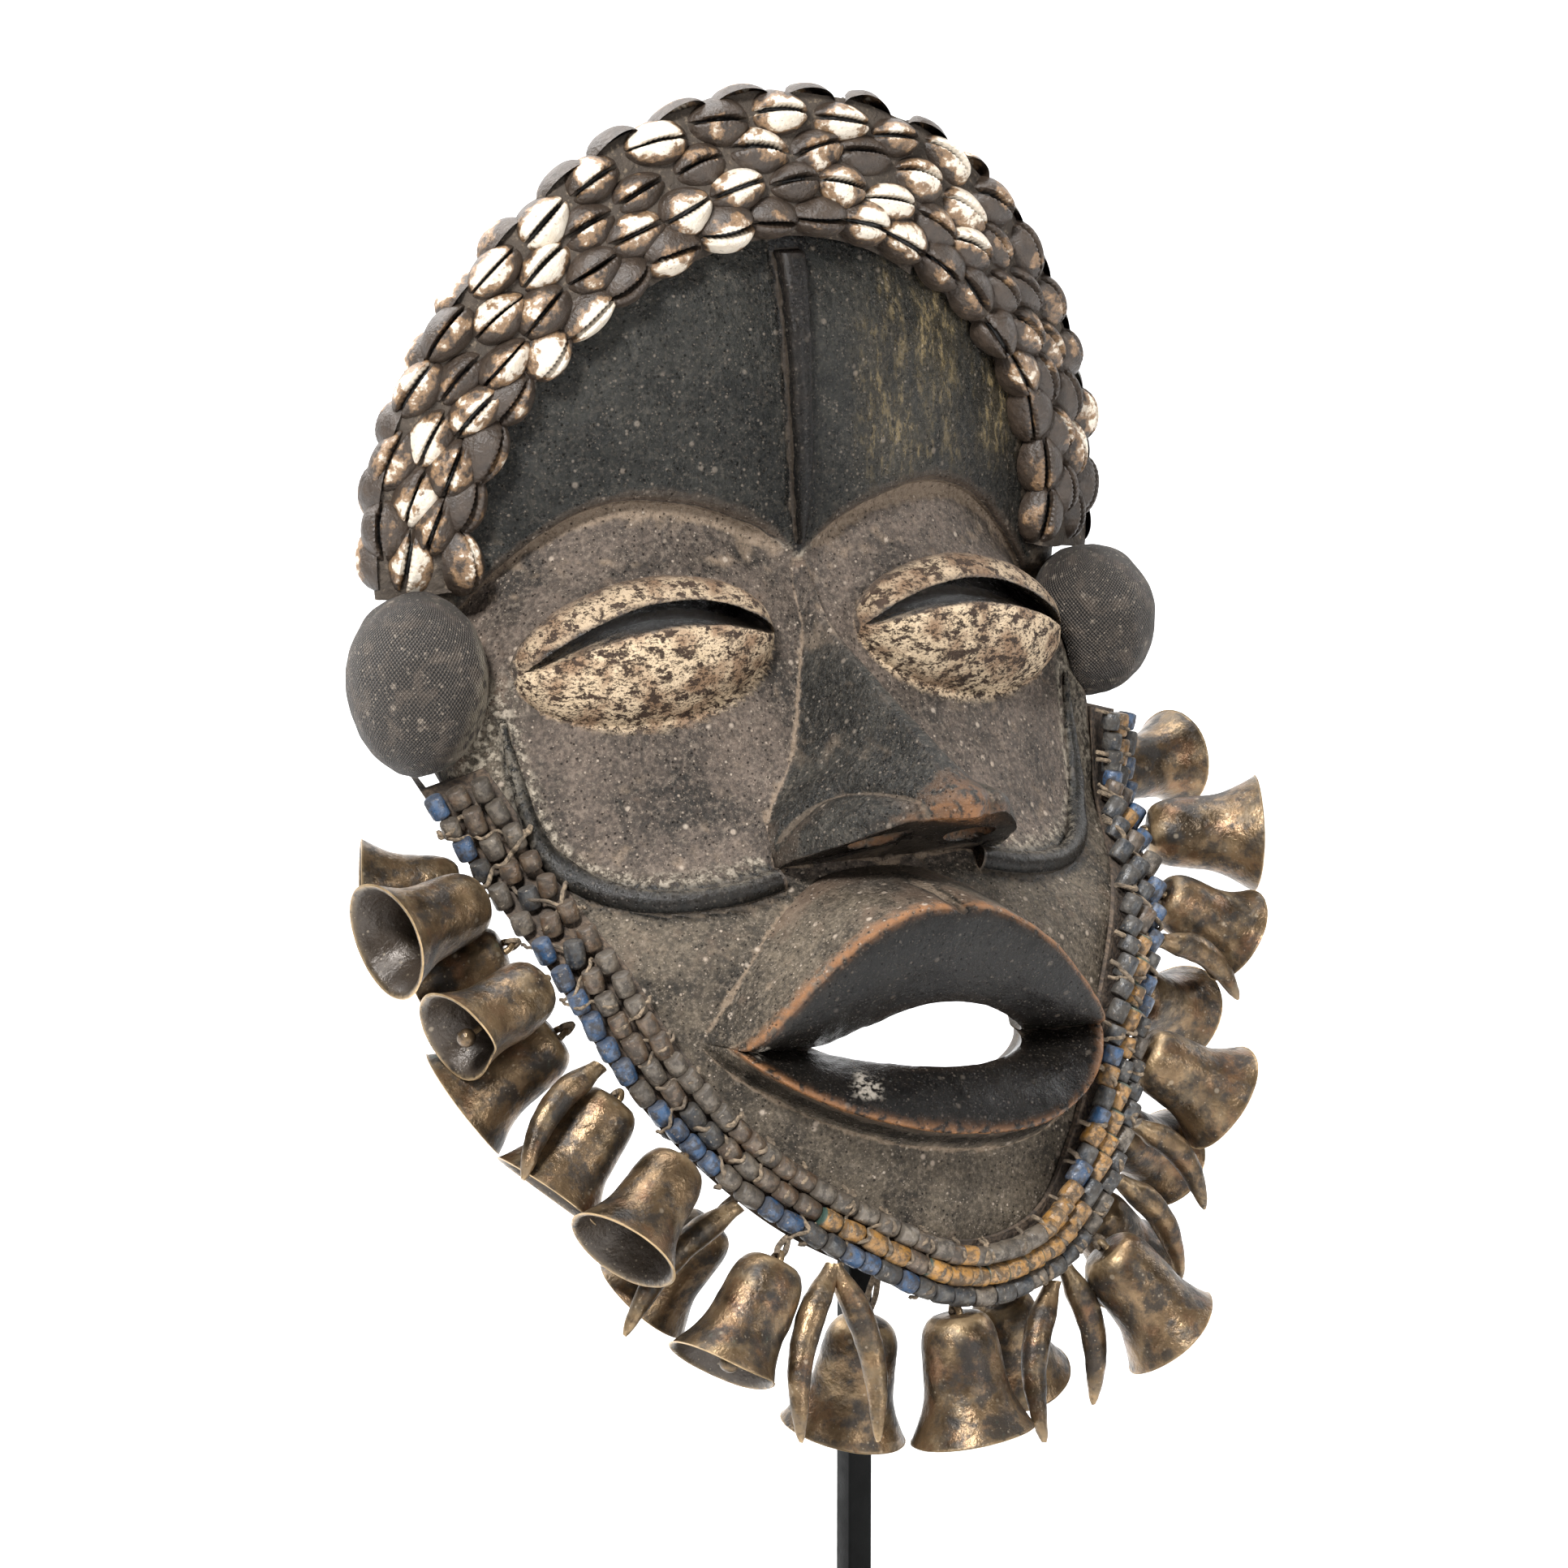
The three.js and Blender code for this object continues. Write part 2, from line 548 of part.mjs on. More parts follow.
// The cap's skin is laid out like bricks: each shell is a cell raised over the paste between the cells
function hair() {
  const { across, rows, inset, high, sink } = cowrie;
  const stations = across * 2;
  const curves = [];
  for (let k = 0; k <= stations; k++)
    curves.push(new THREE.CatmullRomCurve3(hairSection(lerp(-hairEnd, hairEnd, k / stations))));
  const points = [];
  const push = (p) => points.push(p) - 1;
  const grid = curves.map((curve) => {
    const line = [];
    for (let b = 0; b <= rows; b++) line.push(push(curve.getPointAt(b / rows)));
    const last = points[line[rows]];
    const { share, forward, deep } = hairInner;
    line.push(push(new THREE.Vector3(last.x * share, last.y - forward, lerp(hairCentre, last.z, share))));
    line.push(push(points[line[0]].clone().add(new THREE.Vector3(0, deep, 0))));
    return line;
  });
  const triangles = [];
  const total = (loop) => loop.reduce((sum, i) => sum.add(points[i]), new THREE.Vector3());
  const middleOf = (loop) => total(loop).divideScalar(loop.length);
  for (let row = 0; row < rows; row++)
    for (let start = row % 2 ? -1 : 0; start < stations; start += 2) {
      const [from, to] = [Math.max(start, 0), Math.min(start + 2, stations)];
      const loop = [];
      for (let k = from; k <= to; k++) loop.push(grid[k][row]);
      for (let k = to; k >= from; k--) loop.push(grid[k][row + 1]);
      const middle = middleOf(loop);
      const along = points[grid[to][row]].clone().sub(points[grid[from][row]]);
      const over = points[grid[from][row + 1]].clone().sub(points[grid[from][row]]);
      const out = along.cross(over).normalize();
      const raise = (i) => points[i].clone().lerp(middle, 1 - inset).addScaledVector(out, high);
      const inner = loop.map((i) => push(raise(i)));
      loop.forEach((a, i) => {
        const b = loop[(i + 1) % loop.length];
        const c = inner[(i + 1) % loop.length];
        triangles.push([a, b, c], [a, c, inner[i]]);
      });
      for (let i = 1; i + 1 < inner.length; i++) triangles.push([inner[0], inner[i], inner[i + 1]]);
    }
  const rest = [rows, rows + 1, rows + 2, 0];
  for (let k = 0; k < stations; k++)
    for (let i = 0; i < 3; i++) {
      const [a, b] = [grid[k][rest[i]], grid[k + 1][rest[i]]];
      const [c, d] = [grid[k + 1][rest[i + 1]], grid[k][rest[i + 1]]];
      triangles.push([a, b, c], [a, c, d]);
    }
  for (const [k, turned] of [[0, false], [stations, true]]) {
    const loop = turned ? grid[k].slice().reverse() : grid[k];
    const end = push(middleOf(loop));
    loop.forEach((a, i) => triangles.push([a, loop[(i + 1) % loop.length], end]));
  }
  for (const line of grid) for (let b = 0; b <= rows; b++) points[line[b]].y += sink;
  const cap = toSolid(closedMesh(points, triangles)).subtract(toSolid(headBlock(gap * 1.5)));
  return toGeometry(largest(cap).simplify(smoothing));
}

function pad({ at, radii }) {
  const lump = new THREE.SphereGeometry(1, 10, 6).scale(...radii).translate(...at);
  return toSolid(lump).subtract(toSolid(headBlock(gap * 1.5)));
}

// Strings of beads round the jaw: the place of string n, counted from the outer one
const jawCurve = new THREE.CatmullRomCurve3(jawLine.map(([x, z]) => new THREE.Vector3(x, 0, z)));
const jawLength = jawCurve.getLength();

function jawFrame(millimetres, inward) {
  const t = THREE.MathUtils.clamp(millimetres / jawLength, 0, 1);
  const at = jawCurve.getPointAt(t);
  const along = jawCurve.getTangentAt(t);
  const out = new THREE.Vector3(along.z, 0, -along.x);
  at.addScaledVector(out, -inward);
  const depth = (p) => jawDepth(p.x, Math.max(p.z, chinBottom + 3));
  const slope = (depth(at.clone().addScaledVector(out, 1)) - depth(at.clone().addScaledVector(out, -1))) / 2;
  at.y = depth(at) - standOff;
  out.y = Math.min(slope, 0.75);
  out.normalize();
  const back = new THREE.Vector3().crossVectors(out, along).normalize();
  return { at, out, back: back.y < 0 ? back.negate() : back };
}

function jawPoint(millimetres, string) {
  return jawFrame(millimetres, string * stringStep).at;
}

function beadString(string) {
  const steps = beadPairs * 2;
  const line = [];
  for (let k = 0; k <= steps; k++) line.push(jawPoint((jawLength * k) / steps, string));
  const curve = new THREE.CatmullRomCurve3(line);
  const rings = line.map((at, k) => {
    const along = curve.getTangent(k / steps);
    const { out } = jawFrame((jawLength * k) / steps, string * stringStep);
    const up = new THREE.Vector3().crossVectors(along, out).normalize();
    const side = new THREE.Vector3().crossVectors(up, along).normalize();
    const radius = beadRadius * (k % 2 ? 1 : 0.86);
    const ring = [];
    for (let i = 0; i < 4; i++) {
      const a = (2 * Math.PI * (i + 0.5)) / 4;
      const [out, rise] = [radius * Math.cos(a), radius * Math.sin(a)];
      ring.push(at.clone().addScaledVector(side, out).addScaledVector(up, rise));
    }
    return ring;
  });
  return loft(rings);
}

// Strap below the beads, folded back round the edge of the wood
function jawStrap() {
  const steps = beadPairs;
  const rings = [];
  for (let k = 0; k <= steps; k++) {
    const millimetres = (jawLength * k) / steps;
    const inner = jawFrame(millimetres, stringStep * 2);
    const outer = jawFrame(millimetres, 0);
    const flat = new THREE.Vector3(outer.out.x, 0, outer.out.z).normalize();
    const a = inner.at.clone().addScaledVector(inner.out, -strap.inner);
    const b = outer.at.clone().addScaledVector(outer.out, strap.outer);
    a.addScaledVector(inner.back, strap.under);
    b.addScaledVector(outer.back, strap.under);
    const c = b.clone().addScaledVector(flat, -strap.behind * strap.turn);
    c.y += strap.behind;
    const d = c.clone().addScaledVector(flat, -strap.thick);
    const e = b.clone().addScaledVector(flat, -strap.thick).addScaledVector(outer.back, strap.thick);
    const f = a.clone().addScaledVector(inner.back, strap.thick);
    rings.push([a, b, c, d, e, f]);
  }
  let band = toSolid(loft(rings)).subtract(toSolid(headBlock(gap * 1.5)));
  for (const side of [-1, 1]) band = band.subtract(toSolid(cheekRim(side, gap * 2)));
  const mouth = lips(lipSteps).translate(0, -gap * 2, -lip.z);
  mouth.scale(lipClear, 1, lipClear).translate(0, 0, lip.z);
  return largest(band.subtract(toSolid(mouth)));
}

function face() {
  let wood = toSolid(headBlock(0)).subtract(toSolid(hollow()));
  wood = wood.add(toSolid(nose())).add(toSolid(ridge()));
  for (const side of [-1, 1]) wood = wood.add(toSolid(lids(side))).add(toSolid(cheekRim(side)));
  for (const side of [-1, 1]) wood = wood.subtract(toSolid(slitCut(side)));
  wood = wood.subtract(toSolid(mouthCut(lipSteps))).add(toSolid(lips(lipSteps)));
  return toGeometry(largest(wood).simplify(smoothing));
}

// One bell, its mouth down -z and its stem's top at the origin; the mouth's middle is reach away
function bellShape({ size, reach, crushed = 0 }) {
  const { crown, rim: lipRadius, high, wall: thick, stem } = bell;
  const top = -(reach - high * size) / size;
  const profile = [
    [0, top - 3], [crown - thick, top - 6], [crown - thick, top - high * 0.6],
    [lipRadius - thick, top - high], [lipRadius, top - high], [crown + 1.4, top - high * 0.68],
    [crown, top - 5], [crown * 0.7, top - 0.6], [stem, top], [stem, 0], [0, 0],
  ].map(([r, z]) => new THREE.Vector2(r, z));
  const geometry = new THREE.LatheGeometry(profile, 7).rotateX(Math.PI / 2).scale(size, size, size);
  if (crushed) crush(geometry, crushed, size * top, size);
  return geometry;
}

// The pellet inside a bell, on its wire
function clapperShape({ size, reach }) {
  const { high } = bell;
  const { wire, pellet, below } = clapper;
  const top = -(reach - high * size) / size - below;
  const mouth = top - high * 0.8;
  const bottom = mouth - pellet;
  const above = mouth + pellet;
  const profile = [[0, top], [wire, top], [wire, above], [pellet, mouth], [pellet, bottom], [0, bottom]];
  const points = profile.reverse().map(([r, z]) => new THREE.Vector2(r, z));
  return new THREE.LatheGeometry(points, 5).rotateX(Math.PI / 2).scale(size, size, size);
}

// A dent that folds the mouth's rim in on one side
function crush(geometry, amount, top, size) {
  const at = geometry.getAttribute("position");
  for (let i = 0; i < at.count; i++) {
    const [x, y, z] = [at.getX(i), at.getY(i), at.getZ(i)];
    const deep = ease(((top - z) / size / bell.high - 0.4) / 0.6) * amount;
    const facing = Math.max(0, (x * 0.8 - y * 0.6) / Math.hypot(x, y, 1e-3)) ** 2;
    const inward = 1 - 0.45 * deep * facing;
    at.setXYZ(i, x * inward, y * inward, z + 4 * size * deep * facing);
  }
}

// A tapering horn from the strap to its tip, bent outwards
function clawShape(splay, reach, lean) {
  const { radius, neck, bend, sides, steps } = claw;
  const rings = [];
  for (let k = 0; k <= steps; k++) {
    const t = k / steps;
    const thick = radius * Math.sqrt(1.02 - t ** 2.2) * lerp(neck, 1, ease(t * 4));
    const shift = bend * Math.sin(Math.PI * t) * Math.sign(splay);
    const ring = [];
    for (let i = 0; i < sides; i++) {
      const a = (2 * Math.PI * i) / sides;
      ring.push(new THREE.Vector3(thick * Math.cos(a) + shift, thick * Math.sin(a), -t * reach));
    }
    rings.push(ring);
  }
  return loft(rings).applyMatrix4(turnTo(splay, lean));
}

// The turn that takes straight down to a direction splayed sideways and leaned back
function turnTo(splay, lean) {
  const a = THREE.MathUtils.degToRad(splay);
  const b = THREE.MathUtils.degToRad(lean);
  const down = new THREE.Vector3(Math.sin(a) * Math.cos(b), Math.sin(b), -Math.cos(a) * Math.cos(b));
  const turn = new THREE.Quaternion().setFromUnitVectors(new THREE.Vector3(0, 0, -1), down);
  return new THREE.Matrix4().makeRotationFromQuaternion(turn);
}

// Where a bell or claw leaves the strap's outer edge
function hangPoint({ along, behind }) {
  const { at, out } = jawFrame(along, 0);
  const flat = new THREE.Vector3(out.x, 0, out.z).normalize();
  at.addScaledVector(flat, strap.outer + strap.clear - strap.turn * Math.max(0, behind - strap.thick * 2));
  at.y += behind;
  return at;
}

// Stand: a square post with a tongue under the chin and two arms behind the jaw
function post() {
  const shaft = new THREE.BoxGeometry(postSize, postSize, postTop - footSize[2]);
  shaft.translate(0, 0, (postTop + footSize[2]) / 2);
  const { under, reach, thick } = tongue;
  const shelf = new THREE.BoxGeometry(postSize, reach, thick);
  shelf.translate(0, -reach / 2, chinBottom - under - thick / 2);
  let solid = toSolid(shaft).add(toSolid(shelf));
  for (const side of [-1, 1]) {
    const rings = [arm.from, arm.to].map(([x, y, z]) =>
      [[-1, -1], [1, -1], [1, 1], [-1, 1]].map(
        ([a, b]) => new THREE.Vector3(side * x, y + a * arm.deep, z + b * arm.tall)));
    solid = solid.add(toSolid(loft(rings)));
  }
  return toGeometry(solid);
}

function foot() {
  const [wide, deep, high] = footSize;
  const ring = (inset, z) => {
    const [x, y] = [wide / 2 - inset, deep / 2 - inset];
    return [[-x, -y], [x, -y], [x, y], [-x, y]].map(([a, b]) => new THREE.Vector3(a, b, z));
  };
  return loft([ring(0, 0), ring(0, high - footBevel), ring(footBevel, high)]);
}

const part = new THREE.Group();
function add(name, geometry, colour, roughness, metalness = 0) {
  const skin = new THREE.MeshStandardMaterial({ color: colour, roughness, metalness });
  const mesh = new THREE.Mesh(geometry, skin);
  mesh.name = name;
  part.add(mesh);
  return mesh;
}

const finish = {
  wood: [colours.wood, 0.5, 0], cowrie: [colours.cowrie, 0.6, 0], pad: [colours.pad, 0.9, 0],
  strap: [colours.strap, 0.95, 0], blue: [colours.beadBlue, 0.4, 0], brown: [colours.beadBrown, 0.5, 0],
  slate: [colours.beadSlate, 0.5, 0], brass: [colours.brass, 0.45, 0.8], iron: [colours.iron, 0.5, 0.6],
};
add("mask_face", face(), ...finish.wood);
add("hair_band", hair(), ...finish.cowrie);
add("ear_pad_left", toGeometry(pad(pads.left)), ...finish.pad);
add("ear_pad_right", toGeometry(pad(pads.right)), ...finish.pad);
add("jaw_strap", toGeometry(jawStrap()), ...finish.strap);
["beads_outer", "beads_middle", "beads_inner"].forEach((name, string) =>
  add(name, beadString(string), ...finish[["blue", "brown", "slate"][string]]));
const numbered = (name, i) => `${name}_${String(i + 1).padStart(2, "0")}`;
bells.forEach((place, i) => {
  const { x, y, z } = hangPoint(place);
  const hang = (shape) => shape.applyMatrix4(turnTo(place.splay, place.lean)).translate(x, y, z);
  add(numbered("bell", i), hang(bellShape(place)), ...finish.brass);
  if (place.clapper) add(numbered("clapper", i), hang(clapperShape(place)), ...finish.brass);
});
claws.forEach((place, i) => {
  const { x, y, z } = hangPoint(place);
  const horns = place.splay.map((splay) => toSolid(clawShape(splay, place.reach, place.lean)));
  const shape = horns.reduce((all, horn) => all.add(horn));
  add(numbered("claw", i), toGeometry(shape).translate(x, y, z), ...finish.brass);
});
add("stand_post", post(), ...finish.iron);
add("stand_foot", foot(), ...finish.iron);

export default part;
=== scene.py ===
import math
import random

import bmesh
import bpy
import numpy as np
from mathutils import Matrix, Vector, noise


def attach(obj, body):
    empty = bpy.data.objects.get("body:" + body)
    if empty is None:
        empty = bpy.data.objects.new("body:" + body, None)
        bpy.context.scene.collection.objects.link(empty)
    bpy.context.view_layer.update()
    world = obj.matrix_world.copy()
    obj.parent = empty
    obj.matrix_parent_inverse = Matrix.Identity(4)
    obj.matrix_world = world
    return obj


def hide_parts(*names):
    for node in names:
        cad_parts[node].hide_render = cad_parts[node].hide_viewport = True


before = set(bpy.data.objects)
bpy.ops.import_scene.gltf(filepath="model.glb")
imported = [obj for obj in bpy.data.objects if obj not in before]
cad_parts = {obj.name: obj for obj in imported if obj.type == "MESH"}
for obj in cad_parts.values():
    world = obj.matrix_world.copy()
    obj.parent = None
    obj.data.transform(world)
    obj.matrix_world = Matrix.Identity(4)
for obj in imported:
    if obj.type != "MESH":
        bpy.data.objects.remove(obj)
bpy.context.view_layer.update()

dice = random.Random(11)
MM = 0.001

# Camera: the photograph's three-quarter view, slightly from above
view_side, view_up = math.radians(30), math.radians(10)
photo_pixels, pixels_per_mm = 1932, 5.2
view_range, view_width, film = 1300, photo_pixels / pixels_per_mm, 36
view_target = Vector((-14.7, 8.5, 245))
back = Vector((-math.sin(view_side), -math.cos(view_side), 0)) * math.cos(view_up)
back.z = math.sin(view_up)
right = Vector((math.cos(view_side), -math.sin(view_side), 0))
camera = bpy.data.objects.new("camera", bpy.data.cameras.new("camera"))
bpy.context.collection.objects.link(camera)
turn = Matrix((right, back.cross(right), back)).transposed().to_4x4()
camera.matrix_world = Matrix.Translation((view_target + back * view_range) * MM) @ turn
camera.data.sensor_width = film
camera.data.lens = film * view_range / view_width
camera.data.clip_end = 20
bpy.context.scene.camera = camera


# A smooth curve through pairs of numbers
def through(pairs):
    xs, ys = np.array(pairs, float).T
    last = len(xs) - 1
    ends = [(max(i - 1, 0), min(i + 1, last)) for i in range(last + 1)]
    slope = np.array([(ys[b] - ys[a]) / (xs[b] - xs[a]) for a, b in ends])

    def at(x):
        x = np.clip(np.asarray(x, float), xs[0], xs[-1])
        i = np.clip(np.searchsorted(xs, x, side="right") - 1, 0, last - 1)
        run = xs[i + 1] - xs[i]
        t = (x - xs[i]) / run
        return ((2 * t**3 - 3 * t**2 + 1) * ys[i] + (t**3 - 2 * t**2 + t) * run * slope[i]
                + (3 * t**2 - 2 * t**3) * ys[i + 1] + (t**3 - t**2) * run * slope[i + 1])
    return at


def ease(t):
    t = np.clip(t, 0, 1)
    return t * t * (3 - 2 * t)


def mix(a, b, t):
    return a + (b - a) * t


# One at zero, and falling away to both sides within about one width
def hump(value, width):
    return np.exp(-((value / width) ** 2))


def circle(count):
    return np.linspace(0, 2 * math.pi, count, endpoint=False)


# One point, or one pair, for each place in the given arrays
def points_from(*values):
    return np.stack(np.broadcast_arrays(*values), axis=-1)


def unit(v):
    return v / np.maximum(np.linalg.norm(v, axis=-1, keepdims=True), 1e-9)


def rough(points, size, seed=0.0, octaves=3):
    shift = Vector((seed * 7.3, seed * 3.1, seed * 5.7))
    return np.array([noise.fractal(Vector(p) / size + shift, 0.9, 2.0, octaves) for p in points])


# A smooth line through a few points, as evenly spaced points
def smooth_line(points, count):
    p = np.array(points, float)
    p = np.vstack([2 * p[0] - p[1], p, 2 * p[-1] - p[-2]])
    out = []
    for i in range(1, len(p) - 2):
        knots = [0.0]
        for k in range(3):
            knots.append(knots[-1] + max(np.linalg.norm(p[i + k] - p[i + k - 1]) ** 0.5, 1e-4))
        t = np.linspace(knots[1], knots[2], 24, endpoint=False)[:, None]

        def blend(a, b, ta, tb):
            return (tb - t) / (tb - ta) * a + (t - ta) / (tb - ta) * b
        a = [blend(p[i + k - 1], p[i + k], knots[k], knots[k + 1]) for k in range(3)]
        b = [blend(a[k], a[k + 1], knots[k], knots[k + 2]) for k in range(2)]
        out.append(blend(b[0], b[1], knots[1], knots[2]))
    out = np.vstack(out + [p[-2][None]])
    run = np.concatenate([[0], np.cumsum(np.linalg.norm(np.diff(out, axis=0), axis=1))])
    even = np.linspace(0, run[-1], count)
    return np.stack([np.interp(even, run, out[:, k]) for k in range(3)], axis=1), run[-1]


# Mesh helpers
def grid_faces(rows, columns, wrap_rows=False, wrap_columns=False):
    r = np.arange(rows if wrap_rows else rows - 1)[:, None]
    c = np.arange(columns if wrap_columns else columns - 1)[None, :]
    r2, c2 = (r + 1) % rows, (c + 1) % columns
    corners = [r * columns + c, r * columns + c2, r2 * columns + c2, r2 * columns + c]
    return np.stack(corners, axis=-1).reshape(-1, 4)


class Shape:
    """Points in millimetres with faces, each face with a slot number"""

    def __init__(self):
        self.points, self.faces, self.slots, self.marks = [], [], [], {}
        self.count = 0

    def add(self, points, faces, slot=0, **marks):
        points = np.asarray(points, float).reshape(-1, 3)
        for name, value in marks.items():
            value = np.broadcast_to(np.asarray(value, float).ravel(), len(points))
            self.marks.setdefault(name, []).append((self.count, value))
        self.faces += [tuple(int(i) + self.count for i in f) for f in faces]
        self.slots += [slot] * len(faces)
        self.points.append(points)
        self.count += len(points)
        return self

    def loft(self, rings, slot=0, **marks):
        rows, columns = np.shape(rings)[:2]
        faces = [tuple(f) for f in grid_faces(rows, columns, wrap_columns=True)]
        faces += [tuple(range(columns))[::-1], tuple((rows - 1) * columns + i for i in range(columns))]
        return self.add(rings, faces, slot, **marks)

    def hoop(self, rings):
        return self.add(rings, grid_faces(*rings.shape[:2], wrap_rows=True, wrap_columns=True))

    def build(self, name, materials, angle=40):
        mesh = bpy.data.meshes.new(name)
        points = np.vstack(self.points)
        mesh.from_pydata((points * MM).tolist(), [], self.faces)
        for mark, pieces in self.marks.items():
            values = np.zeros(len(points))
            for start, value in pieces:
                values[start:start + len(value)] = value
            set_mark(mesh, mark, values)
        mesh.polygons.foreach_set("material_index", self.slots)
        thing = bpy.data.objects.new(name, mesh)
        bpy.context.collection.objects.link(thing)
        for material in materials:
            mesh.materials.append(material)
        face_out(mesh)
        mesh.polygons.foreach_set("use_smooth", [True] * len(mesh.polygons))
        mesh.set_sharp_from_angle(angle=math.radians(angle))
        return thing


def face_out(mesh):
    work = bmesh.new()
    work.from_mesh(mesh)
    bmesh.ops.recalc_face_normals(work, faces=work.faces)
    work.to_mesh(mesh)
    work.free()


# Add or cut other closed pieces, which are used up
def carve(base, others, operation):
    for other in others:
        step = base.modifiers.new("carve", "BOOLEAN")
        step.operation, step.object, step.solver = operation, other, "MANIFOLD"
    bpy.context.view_layer.update()
    cut = bpy.data.meshes.new_from_object(base.evaluated_get(bpy.context.evaluated_depsgraph_get()))
    base.modifiers.clear()
    base.data = cut
    for other in others:
        bpy.data.objects.remove(other)
    return base


def mesh_points(mesh):
    points = np.empty(len(mesh.vertices) * 3)
    mesh.vertices.foreach_get("co", points)
    return points.reshape(-1, 3) / MM


def mesh_normals(mesh):
    normals = np.empty(len(mesh.vertices) * 3)
    mesh.vertices.foreach_get("normal", normals)
    return normals.reshape(-1, 3)


def move_points(mesh, points):
    mesh.vertices.foreach_set("co", (points * MM).ravel())
    mesh.update()


def set_mark(mesh, name, values):
    layer = mesh.attributes.new(name, "FLOAT", "POINT")
    layer.data.foreach_set("value", np.ascontiguousarray(values, float))


# A function that gives each point the mean of its neighbours
def neighbours(mesh):
    edges = np.empty(len(mesh.edges) * 2, int)
    mesh.edges.foreach_get("vertices", edges)
    a, b = edges.reshape(-1, 2).T
    both, other = np.concatenate([a, b]), np.concatenate([b, a])
    count = len(mesh.vertices)
    degree = np.maximum(np.bincount(both, minlength=count), 1)[:, None]

    def mean(points):
        return np.stack([np.bincount(both, points[other, k], count) for k in range(3)], axis=1) / degree
    return mean


# How far each point stands proud of, or lies below, its surroundings
def relief(mesh, rounds):
    points, mean = mesh_points(mesh), neighbours(mesh)
    soft = points
    for _ in range(rounds):
        soft = mix(soft, mean(soft), 0.7)
    return ((points - soft) * mesh_normals(mesh)).sum(1)


# Let the surface settle into its neighbours, most where settle is 1
def settle_points(mesh, settle, rounds):
    points, mean = mesh_points(mesh), neighbours(mesh)
    for _ in range(rounds):
        points = mix(points, mean(points), 0.5 * settle[:, None])
    move_points(mesh, points)


# Shader helpers
class Nodes:
    """Short names for the nodes of one tree"""

    def __init__(self, tree):
        self.tree = tree

    def node(self, kind, **settings):
        node = self.tree.nodes.new("ShaderNode" + kind)
        for name, value in settings.items():
            setattr(node, name, value)
        return node

    def put(self, socket, value):
        if isinstance(value, bpy.types.NodeSocket):
            self.tree.links.new(value, socket)
        elif value is not None:
            if hasattr(socket.default_value, "__len__") and not hasattr(value, "__len__"):
                value = (value,) * len(socket.default_value)
            elif hasattr(socket.default_value, "__len__") and len(value) < len(socket.default_value):
                value = (*value, 1)
            socket.default_value = value

    def maths(self, operation, a, b=None, c=None, clamp=False):
        node = self.node("Math", operation=operation, use_clamp=clamp)
        for socket, value in zip(node.inputs, (a, b, c)):
            self.put(socket, value)
        return node.outputs[0]

    def times(self, a, b):
        return self.maths("MULTIPLY", a, b)

    def plus(self, a, b, clamp=False):
        return self.maths("ADD", a, b, clamp=clamp)

    def line(self, value, slope, base, clamp=False):
        return self.maths("MULTIPLY_ADD", value, slope, base, clamp)

    def most(self, first, *others):
        for other in others:
            first = self.maths("MAXIMUM", first, other)
        return first

    def blend(self, mask, a, b):
        node = self.node("Mix", data_type="RGBA", clamp_factor=True)
        for name, value in (("Factor_Float", mask), ("A_Color", a), ("B_Color", b)):
            self.put(next(s for s in node.inputs if s.identifier == name), value)
        return next(s for s in node.outputs if s.identifier == "Result_Color")

    def spread(self, value, low, high, to_low=0.0, to_high=1.0):
        node = self.node("MapRange", interpolation_type="SMOOTHSTEP")
        for socket, v in zip(node.inputs, (value, low, high, to_low, to_high)):
            self.put(socket, v)
        return node.outputs[0]

    def place(self, scale=(1, 1, 1)):
        node = self.node("Mapping")
        self.put(node.inputs["Vector"], self.node("TexCoord").outputs["Object"])
        self.put(node.inputs["Scale"], scale)
        return node.outputs[0]

    def cloud(self, size, where=None, detail=4, rough=0.55, bend=0.0):
        node = self.node("TexNoise")
        self.put(node.inputs["Vector"], where or self.place())
        for name, value in (("Scale", 1000 / size), ("Detail", detail), ("Roughness", rough),
                            ("Distortion", bend)):
            self.put(node.inputs[name], value)
        return node.outputs[0]

    def patches(self, size, low, high, most=1.0, **how):
        """Cloud texture turned into patches: none below low, full above high"""
        return self.spread(self.cloud(size, **how), low, high, 0, most)

    def tone(self, size, dark, light, **how):
        return self.blend(self.cloud(size, **how), dark, light)

    def coats(self, colour, *coats):
        """Coats laid over a colour in turn, each a mask, its strength and its own colour"""
        for mask, strength, own in coats:
            colour = self.blend(self.times(mask, strength), colour, own)
        return colour

    def cells(self, size, where=None, feature="F1"):
        node = self.node("TexVoronoi", feature=feature)
        self.put(node.inputs["Vector"], where or self.place())
        self.put(node.inputs["Scale"], 1000 / size)
        return node.outputs[0]

    def mark(self, name):
        return self.node("Attribute", attribute_name=name).outputs["Fac"]

    def bump(self, height, depth):
        node = self.node("Bump")
        for name, value in (("Strength", 1.0), ("Distance", depth * MM), ("Height", height)):
            self.put(node.inputs[name], value)
        return node.outputs[0]


# A shader group with number sockets, whose nodes make() adds
def effect(name, given, wanted, make):
    tree = bpy.data.node_groups.new(name, "ShaderNodeTree")
    for socket, value in given.items():
        item = tree.interface.new_socket(name=socket, in_out="INPUT", socket_type="NodeSocketFloat")
        item.default_value = value
    for socket in wanted:
        tree.interface.new_socket(name=socket, in_out="OUTPUT", socket_type="NodeSocketFloat")
    n = Nodes(tree)
    start, end = tree.nodes.new("NodeGroupInput"), tree.nodes.new("NodeGroupOutput")
    for socket, value in make(n, start.outputs).items():
        n.put(end.inputs[socket], value)
    return tree


def use(n, tree, **values):
    node = n.node("Group", node_tree=tree)
    for name, value in values.items():
        n.put(node.inputs[name], value)
    return node.outputs


